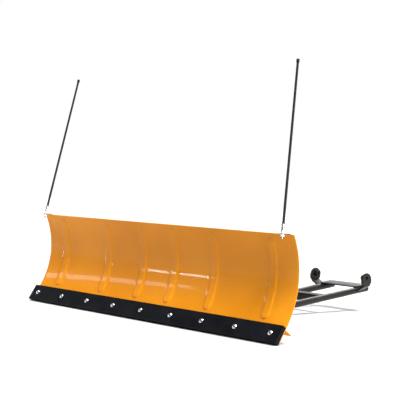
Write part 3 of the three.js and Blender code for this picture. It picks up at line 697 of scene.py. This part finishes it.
low_start = on_skirt(FLANGE_START, SHEET + GAP)
stand_in("bottom_stiffener", "bottom_flange", flange(low_start, SKIRT_BACK, SKIRT_DOWN, 40, HALF_WIDTH))
top_turn = radians(TOP_FLANGE_ANGLE)
top_out = Vector((cos(top_turn), sin(top_turn)))
top_down = Vector((sin(top_turn), -cos(top_turn)))
top_start = on_arc(TOP_FLANGE_ANGLE, SHEET + 2 * GAP)
TOP_HALF = node_box("top_flange")[1].x
stand_in("top_stiffener", "top_flange", flange(top_start, top_out, top_down, 30, TOP_HALF))

GUSSET_DEPTH = 40.0
PIN_RADIUS = 8.0
STOP = (58.0, 150.0)
STOP_RADIUS = 7.0
SPRING_TOP = (16.0, 322.0)
SPRING_FOOT = (372.0, 76.0)
SPRING_HOLE = 9.0


def gusset_inner():
    top = TOP_FLANGE_ANGLE - 1.2
    points = [on_skirt(FLANGE_START - GAP, SHEET + GAP)]
    points += [on_arc(-BOTTOM_ANGLE + (top + BOTTOM_ANGLE) * i / 30, SHEET + GAP) for i in range(31)]
    return [tuple(p) for p in points]


def outer_gusset():
    edge = [on_arc(19, SHEET + 0.7 * GUSSET_DEPTH)]
    edge += [on_arc(8 - 35 * i / 16, SHEET + GUSSET_DEPTH) for i in range(17)]
    edge.append(on_skirt(FLANGE_START - GAP, SHEET + 30))
    return gusset_inner() + [tuple(p) for p in edge]


def hinge_gusset():
    shoulder = on_arc(19.5, SHEET + 36)
    stop_face = STOP[0] - STOP_RADIUS
    edge = [gusset_inner()[-1], tuple(shoulder), (stop_face - 0.6, 290)]
    edge += [(stop_face - GAP, STOP[1] - 8), (TRIP_Y + 17, TRIP_Z + 6)]
    edge = rounded(edge, 12, 5, False)[1:-1]
    edge += arc(TRIP_Y, TRIP_Z, 18, 20, -80, 14)
    return gusset_inner() + edge + [tuple(on_skirt(FLANGE_START - GAP, SHEET + 30))]


gusset_xs = []
for side, sign in SIDES.items():
    for kind, outline in (("hinge", hinge_gusset()), ("outer", outer_gusset())):
        low, high = node_box(f"{side}_{kind}_gusset")
        holes = []
        if kind == "hinge":
            holes = [circle(TRIP_Y, TRIP_Z, PIN_RADIUS + GAP), circle(*SPRING_TOP, SPRING_HOLE)]
        rib = standing(outline, holes, low.x, high.x)
        stand_in(f"{side}_{kind}_rib_plate", f"{side}_{kind}_gusset", rib)
        gusset_xs.append((low.x, high.x))


def gusset_welds():
    """Beads on both faces of each gusset, in runs along the back of the sheet."""
    beads = []
    for low, high in gusset_xs:
        for x in (low - 1.2, high + 1.2):
            for start in (-28, -12, 6):
                path = [on_arc(start + i * 1.2, SHEET + 1.6) for i in range(9)]
                beads.append(bead([(x, p.x, p.y) for p in path]))
    return joined(*beads)


def flange_welds():
    """Stitch welds between the stiffeners and the sheet."""
    beads = []
    top = on_arc(TOP_FLANGE_ANGLE + 0.1, SHEET + 1.8)
    under = on_skirt(FLANGE_START - 1.0, SHEET + 1.8)
    for k in range(-4, 5):
        for point in (top, under):
            beads.append(bead([(k * 165 - 22, point.x, point.y), (k * 165 + 22, point.x, point.y)], 2.2))
    return joined(*beads)


piece("gusset_welds", gusset_welds(), "blade", "orange_paint", 60)
piece("stiffener_welds", flange_welds(), "blade", "orange_paint", 60)

# ---- Guide markers ----
BRACKET = 3.0
LEAN_BACK = {"left": 11, "right": 4.5}
LEAN_IN = {"left": 3.2, "right": 1.3}
ROD_RADIUS = 5.0
ROD_TIP_RADIUS = 6.0
ROD_LENGTH = 645.0
SLEEVE_RADIUS = 7.4
SOCKET_LENGTH = 34.0
MARKER_Y = -65.0
top_edge = on_arc(TOP_ANGLE, SHEET + GAP)
bracket_low = top_edge.y + 0.5


def marker_bracket(x):
    foot = on_arc(TOP_FLANGE_ANGLE + 1, SHEET + GAP)
    foot_back = on_arc(TOP_FLANGE_ANGLE + 1, SHEET + GAP + BRACKET)
    front = MARKER_Y - 13
    points = [(front, bracket_low), (top_edge.x + 0.4, bracket_low), tuple(foot), tuple(foot_back)]
    points += [(top_edge.x + 3.9, bracket_low + 1.2), (top_edge.x + 2.2, bracket_low + BRACKET)]
    points.append((front, bracket_low + BRACKET))
    return standing(rounded(points, 1.6, 4), [], x - 15, x + 15, 0.6)


for side, sign in SIDES.items():
    low, high = node_box(f"{side}_marker_bracket")
    x = (low.x + high.x) / 2
    base = (x, MARKER_Y, bracket_low + BRACKET / 2)
    lean_in, lean_back = radians(LEAN_IN[side]), radians(LEAN_BACK[side])
    up = Vector((-sign * tan(lean_in), tan(lean_back), 1)).normalized()
    stand_in(f"{side}_marker_clip", f"{side}_marker_bracket", marker_bracket(x))
    stud = [(0, -20), (3.4, -20), (4, -19.3)] + thread(4, -19, -12, 1.25) + [(4, -12), (4, 12), (0, 12)]
    bore = ROD_RADIUS + GAP
    sleeve = [(0, 10), (SLEEVE_RADIUS, 11), (SLEEVE_RADIUS, 12)]
    sleeve += [(SLEEVE_RADIUS - 0.35 * (k % 2), 14 + k * 1.2) for k in range(14)]
    sleeve += [(SLEEVE_RADIUS, 31.5), (SLEEVE_RADIUS, SOCKET_LENGTH - 0.8)]
    sleeve += [(SLEEVE_RADIUS - 0.6, SOCKET_LENGTH), (bore, SOCKET_LENGTH), (bore, 12.2), (0, 12.2)]
    nuts = [hexagon(14.5, base, up, -11.5, -4.8, 3.9), hexagon(14.5, base, up, 3.3, 10.2, 3.9)]
    washer = [(3.9, -4.8), (8.3, -4.8), (8.6, -4.4), (8.6, -3.6), (8.3, -3.3), (3.9, -3.3), (3.9, -4.8)]
    turned = [lathe(stud, base, up, 28), lathe(sleeve, base, up, 36), lathe(washer, base, up, 36)]
    stand_in(f"{side}_marker_holder", f"{side}_marker_socket", joined(*turned, *nuts))
    tip = ROD_LENGTH - 0.4
    taper = [(ROD_RADIUS - 0.5 * k / 20, 12.3 + (tip - 28) * k / 20) for k in range(21)]
    cap = [(ROD_RADIUS - 0.5, tip - 14.6), (ROD_TIP_RADIUS - 0.3, tip - 14), (ROD_TIP_RADIUS, tip - 13)]
    cap += [(ROD_TIP_RADIUS, tip - 3), (ROD_TIP_RADIUS - 0.6, tip - 1), (3.2, tip - 0.2), (0, tip)]
    rod = lathe([(0, 12.3)] + taper + cap, base, up, 24)
    stand_in(f"{side}_marker_stick", f"{side}_marker_rod", rod)

# ---- Swivel frame ----
ARM_LOW, ARM_HIGH, ARM_FRONT, ARM_REAR = 18.0, 58.0, 140.0, 398.0
ARM_X = 60.0
SLOT_RADIUS = 82.0
SLOT_ANGLE = 30.5
SLOT_HALF = 7.4
PLATE_LOW, PLATE_HIGH = 30.0, 38.0


def arc_slot():
    outer = arc(0, KING_Y, SLOT_RADIUS + SLOT_HALF, 90 - SLOT_ANGLE, 90 + SLOT_ANGLE, 30)
    inner = arc(0, KING_Y, SLOT_RADIUS - SLOT_HALF, 90 + SLOT_ANGLE, 90 - SLOT_ANGLE, 30)
    def end(angle, start):
        turn = radians(angle)
        centre = (SLOT_RADIUS * cos(turn), KING_Y + SLOT_RADIUS * sin(turn))
        return arc(*centre, SLOT_HALF, start, start + 180, 12)[1:-1]
    return outer + end(90 + SLOT_ANGLE, 90 + SLOT_ANGLE) + inner + end(90 - SLOT_ANGLE, 270 - SLOT_ANGLE)


def swivel_plate():
    edge = ARM_X - GAP
    front = ARM_FRONT + GAP
    outline = [(-edge, front), (edge, front), (edge, KING_Y - 50), (44, KING_Y), (69, KING_Y + 72)]
    outline = rounded(outline, 8, 5, False)[:-1]
    outline += arc(0, KING_Y, 100, 46, 134, 40) + [(-44, KING_Y), (-edge, KING_Y - 50)]
    window = rounded([(-38, 175), (38, 175), (38, 350), (-38, 350)], 9, 6)
    bore = circle(0, KING_Y, 10 + GAP)
    sheet = plate(outline, [window, arc_slot(), bore], PLATE_LOW, PLATE_HIGH, 1.0)
    low, high = 22 + GAP, 56 - GAP
    boss = [(10.3, low + 1), (11.3, low), (23.2, low), (24, low + 0.8), (24, high - 0.8), (23.2, high)]
    boss += [(11.3, high), (10.3, high - 1), (10.3, low + 1)]
    return joined(sheet, lathe(boss, KING, UP, 56))


stand_in("sector_plate", "swivel_plate", swivel_plate())


def swivel_arm(low, high):
    y, z = SPRING_FOOT
    rear, floor, top = ARM_REAR, ARM_LOW, ARM_HIGH
    front = ARM_FRONT + 2 * GAP
    outline = [(front, floor), (rear, floor), (rear + 14, floor + 12), (rear + 14, top - 10)]
    outline += [(rear, top), (y + 14, z + 6), (y + 6, z + 13), (y - 6, z + 13), (y - 14, z + 6)]
    outline += [(y - 34, top), (front, top)]
    return standing(rounded(outline, 9, 5), [circle(y, z, SPRING_HOLE)], low, high, 1.0)


def cross_tube(low, high):
    front, size, floor, top = 100.0, 40.0, 18, 58
    def square(by):
        near, far = front + by, front + size - by
        return [(near, floor + by), (far, floor + by), (far, top - by), (near, top - by)]
    return standing(rounded(square(0), 6, 6), [rounded(square(4), 2.5, 4)], low, high, 0.6)


low, high = node_box("swivel_cross_tube")
stand_in("square_cross_tube", "swivel_cross_tube", cross_tube(low.x, high.x))


def hinge_lug(low, high):
    face = 100 - GAP
    outline = [(face, 20), (face, 58)] + arc(*STOP, 15, 0, 180, 18)
    outline += [(TRIP_Y - 14, TRIP_Z + 10)] + arc(TRIP_Y, TRIP_Z, 17, 150, 250, 14)
    holes = [circle(TRIP_Y, TRIP_Z, PIN_RADIUS + GAP), circle(*STOP, STOP_RADIUS + GAP)]
    return standing(outline, holes, low, high, 1.0)


for side, sign in SIDES.items():
    low, high = node_box(f"{side}_swivel_arm")
    stand_in(f"{side}_side_arm", f"{side}_swivel_arm", swivel_arm(low.x, high.x))
    low, high = node_box(f"{side}_hinge_lug")
    stand_in(f"{side}_pivot_lug", f"{side}_hinge_lug", hinge_lug(low.x, high.x))
    low, high = node_box(f"{side}_trip_pin")
    length = high.x - low.x
    start = (low.x if sign > 0 else high.x, TRIP_Y, TRIP_Z)
    pin = [(0, 0.6), (6, 0), (12, 0), (13, 1), (13, 7), (12, 8), (PIN_RADIUS, 8)]
    pin += [(PIN_RADIUS, length - 10), (7, length - 9.4), (7, length - 7.6)]
    pin += [(PIN_RADIUS, length - 7), (PIN_RADIUS, length - 2), (PIN_RADIUS - 2, length), (0, length)]
    clip = [(7.2, length - 9), (12.5, length - 9), (12.5, length - 8), (7.2, length - 8)]
    clip.append(clip[0])
    turned_pin = joined(lathe(pin, start, (sign, 0, 0), 44), lathe(clip, start, (sign, 0, 0), 44))
    stand_in(f"{side}_pivot_pin", f"{side}_trip_pin", turned_pin)

low, high = node_box("stop_bar")
length = high.x - low.x
stop = [(0, 0), (STOP_RADIUS - 1.2, 0), (STOP_RADIUS, 1.2)]
stop += [(STOP_RADIUS, length - 1.2), (STOP_RADIUS - 1.2, length), (0, length)]
stand_in("round_stop_bar", "stop_bar", lathe(stop, (low.x, *STOP), (1, 0, 0), 40))

# ---- Trip springs ----
WIRE_RADIUS = 2.5
COIL_RADIUS = 13.0
COIL_TURNS = 34.5
POINTS_A_TURN = 20
HOOK = 10.0
HOOK_LENGTH = 52.0


def trip_spring(sign, top, foot):
    """One wire: a hook through the gusset, the coil, and a hook through the arm."""
    along = (foot - top).normalized()
    across = (Vector((-sign, 0, 0)) + along * (sign * along.x)).normalized()
    third = along.cross(across) * sign
    def hook(end, inward, angle):
        turn = radians(angle)
        return end + inward * HOOK * (1 - cos(turn)) + across * HOOK * sin(turn)
    def bridge(start, end):
        return [start.lerp(end, k / 6) for k in range(1, 6)]
    head = [hook(top, along, angle) for angle in range(-90, 91, 10)]
    length = (foot - top).length
    steps = round(COIL_TURNS * POINTS_A_TURN)
    coil = []
    for i in range(steps + 1):
        turn = tau * i / POINTS_A_TURN
        at = HOOK_LENGTH + (length - 2 * HOOK_LENGTH) * i / steps
        round_it = (across * cos(turn) + third * sin(turn)) * COIL_RADIUS
        coil.append(top + along * at + round_it)
    tail = [hook(foot, -along, angle) for angle in range(-90, 76, 10)]
    wire = head + bridge(head[-1], coil[0]) + coil + bridge(coil[-1], tail[0]) + tail
    return swept(wire, WIRE_RADIUS, 10)


for side, sign in SIDES.items():
    gusset_low, gusset_high = node_box(f"{side}_hinge_gusset")
    arm_low, arm_high = node_box(f"{side}_swivel_arm")
    top = Vector(((gusset_low.x + gusset_high.x) / 2, *SPRING_TOP))
    foot = Vector(((arm_low.x + arm_high.x) / 2, *SPRING_FOOT))
    made = stand_in(f"{side}_coil_spring", f"{side}_trip_spring", trip_spring(sign, top, foot), 80)
    made.parent = None
    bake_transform(made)

# ---- Push frame ----
TUBE_RADIUS = 15.9
TUBE_WALL = 3.0
TUBE_X = 104.8
TUBE_SLOPE = radians(6.8)
TUBE_FRONT = 525.0
TUBE_REAR = 1291.0
TUBE_FLOOR_Y = 470.0
UPPER_LOW, UPPER_HIGH = 56.0, 62.0
LOWER_LOW, LOWER_HIGH = 16.0, 22.0
UPPER_HALF = 127
KING_RADIUS = 10
CLAMP_RADIUS = 7
CROSS_MEMBER_Y = 940
REAR_PLATE_Y = 1195
LOOP_HALF, LOOP_Y = 26, 612


def axis_height(y):
    return TUBE_RADIUS / cos(TUBE_SLOPE) + (y - TUBE_FLOOR_Y) * tan(TUBE_SLOPE)


def sloped(y):
    """From the tube's own level frame at y to its place on the slope."""
    return Matrix.Translation((0, y, axis_height(y))) @ Matrix.Rotation(TUBE_SLOPE, 4, "X")


TUBE_DIRECTION = Vector((0, cos(TUBE_SLOPE), sin(TUBE_SLOPE)))


def push_tube(x):
    length = (TUBE_REAR - TUBE_FRONT) / cos(TUBE_SLOPE)
    inner = TUBE_RADIUS - TUBE_WALL
    outer = TUBE_RADIUS
    profile = [(0, length - 4), (inner, length - 4), (inner, 0.6), (inner + 0.6, 0), (outer - 0.6, 0)]
    profile += [(outer, 0.6), (outer, length - 4.5), (outer - 0.9, length - 3.4)]
    profile += [(outer - 1.5, length - 3.0), (outer - 1.3, length - 1.2), (outer - 2.4, length)]
    profile.append((0, length))
    return lathe(profile, (x, TUBE_FRONT, axis_height(TUBE_FRONT)), TUBE_DIRECTION, 56)


def king_plate(low, high, half, rear, holes):
    shoulder = 508.0
    outline = [(half, rear), (-half, rear), (-half, shoulder)]
    outline += arc(0, KING_Y, 40, 140, 400, 44) + [(half, shoulder)]
    return plate(rounded(outline, 6, 5), holes, low, high, 1.0)


bore = circle(0, KING_Y, KING_RADIUS + GAP)
lower = king_plate(LOWER_LOW, LOWER_HIGH, 120.7, 522, [bore])
stand_in("lower_pivot_plate", "lower_king_plate", lower)
clamp_hole = circle(0, CLAMP_Y, CLAMP_RADIUS + GAP)
upper = king_plate(UPPER_LOW, UPPER_HIGH, UPPER_HALF, 640, [bore, clamp_hole])
stand_in("upper_pivot_plate", "upper_king_plate", upper)


def side_plate(low, high):
    front, rear, top = 500.0, 660.0, UPPER_LOW - GAP
    outline = [(rear, axis_height(rear) - 10), (rear, top), (front, top)]
    outline += arc(front + 14, 14, 14, 180, 270, 12) + [(front + 100, 0)]
    return standing(outline, [], low, high, 1.0)


def hexagon_bolt(base, flats, head_low, head_high, radius, tail, tip):
    """A hexagon head above a shank that runs down to a chamfered tip."""
    shank = [(0, tip), (radius - 1.2, tip), (radius, tip + 1.2)] + thread(radius, tip + 1.2, tail)
    shank += [(radius, tail), (radius, head_low + 0.5), (0, head_low + 0.5)]
    return joined(lathe(shank, base, UP, 40), hexagon(flats, base, UP, head_low, head_high, 0))


def washer(inner, outer, low, high):
    profile = [(inner, low), (outer - 0.4, low), (outer, low + 0.4), (outer, high - 0.4)]
    return profile + [(outer - 0.4, high), (inner, high), (inner, low)]


CLAMP = (0, CLAMP_Y, 0)
king_seat = UPPER_HIGH + GAP
king_bolt = hexagon_bolt(KING, 28, king_seat + 2.6, king_seat + 12.5, KING_RADIUS, 15, 2.5)
king_washer = lathe(washer(10.1, 17, king_seat, king_seat + 2.5), KING, UP, 48)
stand_in("king_bolt", "kingpin", joined(king_bolt, king_washer))
nut_low = LOWER_LOW - GAP - 10.5
stand_in("king_nut", "kingpin_nut", hexagon(30, KING, UP, nut_low, nut_low + 10.5, 10.3))

clamp_seat = UPPER_HIGH + GAP
clamp_tip = clamp_seat + 34
head_top = PLATE_LOW - GAP
thread_low, thread_high = clamp_seat + 26, clamp_tip - 1.5
clamp_profile = [(0, head_top - 6), (9, head_top - 6), (12, head_top - 4.6), (13, head_top - 2.4)]
clamp_profile += [(13, head_top), (CLAMP_RADIUS, head_top), (CLAMP_RADIUS, thread_low)]
clamp_profile += thread(CLAMP_RADIUS, thread_low, thread_high)
clamp_profile += [(CLAMP_RADIUS, thread_high), (5.5, clamp_tip), (0, clamp_tip)]
stand_in("slot_bolt", "clamp_bolt", lathe(clamp_profile, CLAMP, UP, 40))
spacer = washer(7.3, 14, PLATE_HIGH + GAP, UPPER_LOW - GAP)
stand_in("slot_spacer", "clamp_spacer", lathe(spacer, CLAMP, UP, 44))


def clamp_handle():
    hub = [(7.3, 1), (8.3, 0), (16.4, 0), (17, 0.6), (17, 2.6), (16, 3.4), (12.6, 5), (12, 6)]
    hub += [(12, 27), (11, 29), (9.6, 30), (8, 30), (7.3, 29.2), (7.3, 1)]
    grip = [(0, 10), (4.5, 10), (4.5, 39), (5, 41.5), (6.5, 43.5), (7, 45), (7, 52), (6.2, 54.6)]
    grip += [(4, 56), (0, 56)]
    seat = (0, CLAMP_Y, clamp_seat)
    level = (0, CLAMP_Y, clamp_seat + 17)
    bars = [lathe(grip, level, (sign, 0, 0), 32) for sign in (-1, 1)]
    return joined(lathe(hub, seat, UP, 44), *bars)


stand_in("tee_handle", "clamp_handle", clamp_handle())


def lift_loop():
    low = UPPER_HIGH + GAP
    half, crown, y = LOOP_HALF, 34.0, LOOP_Y
    rise = half * 1.3
    left = [(-half, y, low + crown * i / 6) for i in range(6)]
    bow = []
    for i in range(33):
        t = i / 32
        x = half * (2 * (3 * t * t - 2 * t ** 3) - 1)
        bow.append((x, y, low + crown + rise * 3 * t * (1 - t)))
    right = [(half, y, low + crown * (1 - i / 6)) for i in range(1, 7)]
    return swept(left + bow + right, 5.0, 20)


stand_in("winch_loop", "lift_loop", lift_loop())


def cross_member():
    leg, wall, top = 38.0, 4.0, TUBE_RADIUS - 1
    outline = [(0, top - leg), (wall, top - leg), (wall, top - wall), (leg, top - wall)]
    outline = rounded(outline + [(leg, top), (0, top)], 3.2, 5)
    return moved(standing(outline, [], -(TUBE_X - 12), TUBE_X - 12, 0.5), sloped(CROSS_MEMBER_Y))


stand_in("angle_cross_member", "cross_member", cross_member())


def rear_plate():
    half, depth = 112.0, 86.0
    low = TUBE_RADIUS + GAP
    outline = rounded([(-half, 0), (half, 0), (half, depth), (-half, depth)], 7, 6)
    return moved(plate(outline, [], low, low + 6, 1.2), sloped(REAR_PLATE_Y))


stand_in("rear_cover_plate", "rear_plate", rear_plate())

EAR_Y = 1219.0
EAR_X, EAR_THICK = 156.0, 8.0
EAR_HALF, EAR_LOW, EAR_HEIGHT, EAR_CORNER = 37.0, 25.0, 88.0, 24.0
BUSH_RADIUS, BUSH_BORE, BUSH_LENGTH, BUSH_HEIGHT = 15.0, 8.5, 28.0, 63.0
STRAP_HALF = 25.0
TO_XZ = Matrix(((1, 0, 0, 0), (0, 0, 1, 0), (0, 1, 0, 0), (0, 0, 0, 1)))


def ear(sign):
    """The upright with round corners, its pin bush, and the foot that slopes down to the tube."""
    corner_z = EAR_LOW + EAR_CORNER
    outline = arc(EAR_HALF - EAR_CORNER, corner_z, EAR_CORNER, -90, 0, 14)
    outline += arc(0, EAR_HEIGHT - EAR_HALF, EAR_HALF, 0, 180, 40)
    outline += arc(EAR_CORNER - EAR_HALF, corner_z, EAR_CORNER, 180, 270, 14)
    near, far = sign * EAR_X, sign * (EAR_X + EAR_THICK)
    upright = standing(outline, [circle(0, BUSH_HEIGHT, BUSH_BORE, 48)], near, far, 1.4)
    wall = [(BUSH_BORE, 0.8), (BUSH_BORE + 0.8, 0), (BUSH_RADIUS - 1, 0), (BUSH_RADIUS, 1)]
    wall += [(BUSH_RADIUS, BUSH_LENGTH - 4), (BUSH_BORE, BUSH_LENGTH - 4), (BUSH_BORE, 0.8)]
    bush = lathe(wall, (far - sign * BUSH_LENGTH, 0, BUSH_HEIGHT), (sign, 0, 0), 48)
    inner = sign * (TUBE_X + 11)
    near, far = near + sign * 0.1, far - sign * 0.1
    strap = [(inner, -4.6), (far, EAR_LOW - 2), (far, EAR_LOW + 9), (near, EAR_LOW + 9)]
    strap += [(near, EAR_LOW + 6), (inner, 2.6)]
    foot = plate(rounded(strap, 3.0, 5), [], -STRAP_HALF, STRAP_HALF, 1.0)
    return moved(joined(upright, bush, moved(foot, TO_XZ)), sloped(EAR_Y))


for side, sign in SIDES.items():
    stand_in(f"{side}_round_tube", f"{side}_push_tube", push_tube(sign * TUBE_X))
    low, high = node_box(f"{side}_side_plate")
    stand_in(f"{side}_runner_plate", f"{side}_side_plate", side_plate(low.x, high.x))
    stand_in(f"{side}_mount_ear", f"{side}_ear", ear(sign))


def frame_welds():
    """Beads where the tubes meet the cross-member, the rear plate, the ears and the side plates."""
    beads = []
    for sign in SIDES.values():
        at = sloped(CROSS_MEMBER_Y)
        for y in (-1.6, 5.2):
            ring = []
            for k in range(9):
                angle = radians(150 - k * 16)
                x = sign * (TUBE_X - TUBE_RADIUS * sin(angle))
                ring.append(at @ Vector((x, y, -TUBE_RADIUS * cos(angle))))
            beads.append(bead(ring))
        at = sloped(REAR_PLATE_Y)
        x = sign * (TUBE_X - 7.5)
        beads.append(bead([at @ Vector((x, y, TUBE_RADIUS - 1.2)) for y in (4, 84)]))
        at = sloped(EAR_Y)
        seam = sign * (EAR_X - 0.8)
        beads.append(bead([at @ Vector((seam, y, EAR_LOW + 5.4)) for y in (-20, 20)], 2.2))
        line = [at @ Vector((sign * (TUBE_X + 15.6), y, 4.6)) for y in (-STRAP_HALF + 1, STRAP_HALF - 1)]
        beads.append(bead(line, 2.6))
        line = [(sign * (UPPER_HALF - 6 - 1.0), y, UPPER_LOW - 1.2) for y in (520, 636)]
        beads.append(bead(line, 2.0))
        foot = circle(sign * LOOP_HALF, LOOP_Y, 6.2, 12)
        beads.append(bead([(x, y, king_seat + 1) for x, y in foot + foot[:1]], 1.8))
    return joined(*beads)


def swivel_welds():
    """Beads between the arms, the sector plate, the cross tube and the pivot lugs."""
    beads = []
    lug_low, lug_high = node_box("right_hinge_lug")
    for sign in SIDES.values():
        line = [(sign * (ARM_X - 1.2), y, PLATE_HIGH + 1) for y in (150, 400)]
        beads.append(bead(line, 2.4))
        for x in (ARM_X - 0.8, ARM_X + 8.8):
            beads.append(bead([(sign * x, 141.2, z) for z in (22, 54)], 2.2))
        for x in (lug_low.x - 0.6, lug_high.x + 0.6):
            beads.append(bead([(sign * x, 98.8, z) for z in (23, 56)], 2.2))
    ring = []
    for k in range(41):
        turn = tau * k / 40
        ring.append((25 * cos(turn), KING_Y + 25 * sin(turn), PLATE_HIGH + 0.9))
    beads.append(bead(ring, 2.2))
    return joined(*beads)


piece("push_frame_welds", frame_welds(), "push_frame", "black_paint", 60)
piece("swivel_frame_welds", swivel_welds(), "swivel_frame", "black_paint", 60)

# ---- Floor and light ----
FLOOR_RADIUS = 60.0
WORLD_LEVEL = 0.20
WORLD_SLOPE = (0.05, 0.75, 0.20)
KEY_STRENGTH = 6.65
RIM_STRENGTH = 1.7
SIDE_STRENGTH = 2.0


def make_floor():
    """A wide pale floor that runs out to the horizon."""
    profile = [(0, 0), (1, 0), (3, 0), (9, 0), (25, 0), (FLOOR_RADIUS, 0)]
    points, faces = lathe(profile, (0, 0, 0), UP, 96)
    mesh = bpy.data.meshes.new("floor")
    mesh.from_pydata(points, [], faces)
    look = Look("pale_floor", Roughness=0.75, Specular_IOR_Level=0.15)
    look.colour(look.blend(look.noise(0.6, 2.0), (0.46, 0.46, 0.46), (0.49, 0.49, 0.488)))
    mesh.materials.append(look.material)
    floor = placed("floor", mesh)


def make_light(kind, name, place, target, power, **settings):
    data = bpy.data.lights.new(name, kind)
    data.energy = power
    for setting, value in settings.items():
        setattr(data, setting, value)
    light = placed(name, data)
    light.visible_camera = False
    light.location = place
    light.rotation_euler = (Vector(target) - Vector(place)).to_track_quat("-Z", "Y").to_euler()


def make_sun(name, place, power, degrees):
    make_light("SUN", name, place, (0, 0, 0), power, angle=radians(degrees))


def make_card(name, place, target, power, width, height):
    card = {"shape": "RECTANGLE", "size": width, "size_y": height}
    make_light("AREA", name, place, target, power, **card)


def make_studio():
    """White for the camera. The light itself falls off from the zenith and from +X towards -X."""
    world = bpy.data.worlds.new("studio")
    world.use_nodes = True
    nodes, link = world.node_tree.nodes, world.node_tree.links.new
    surround = nodes["Background"]
    place = nodes.new("ShaderNodeTexCoord").outputs["Generated"]
    slope = nodes.new("ShaderNodeVectorMath")
    slope.operation = "DOT_PRODUCT"
    link(place, slope.inputs[0])
    slope.inputs[1].default_value = WORLD_SLOPE
    level = nodes.new("ShaderNodeMath")
    level.operation = "ADD"
    level.use_clamp = True
    link(slope.outputs["Value"], level.inputs[0])
    level.inputs[1].default_value = WORLD_LEVEL
    link(level.outputs[0], surround.inputs["Strength"])
    surround.inputs["Color"].default_value = (1.0, 1.0, 1.0, 1.0)
    backdrop = nodes.new("ShaderNodeBackground")
    backdrop.inputs["Color"].default_value = (1.0, 1.0, 1.0, 1.0)
    choice = nodes.new("ShaderNodeMixShader")
    link(nodes.new("ShaderNodeLightPath").outputs["Is Camera Ray"], choice.inputs[0])
    link(surround.outputs[0], choice.inputs[1])
    link(backdrop.outputs[0], choice.inputs[2])
    link(choice.outputs[0], nodes["World Output"].inputs["Surface"])
    scene.world = world
    scene.view_settings.view_transform = "Standard"
    make_sun("soft_key", (1.3, -0.32, 3.0), KEY_STRENGTH, 28)
    make_sun("back_rim", (-0.6, 1.4, 1.2), RIM_STRENGTH, 30)
    make_card("left_card", (-4.2, -2.25, 0.26), (0.0, -0.62, 0.26), 7, 0.16, 0.3)
    make_card("back_card", (-2.9, 3.35, 0.75), (0, 0.6, 0.1), 10, 2.6, 1.0)
    make_sun("side_fill", (3.0, -0.5, 0.6), SIDE_STRENGTH, 30)
    make_card("low_strip", (-2.53, -3.07, 0.57), (0.0, -0.6, 0.23), 8, 0.5, 0.09)
    make_card("high_strip", (-3.1, -2.6, 1.32), (-0.3, -0.6, 0.2), 11, 1.4, 0.22)


make_floor()
make_studio()
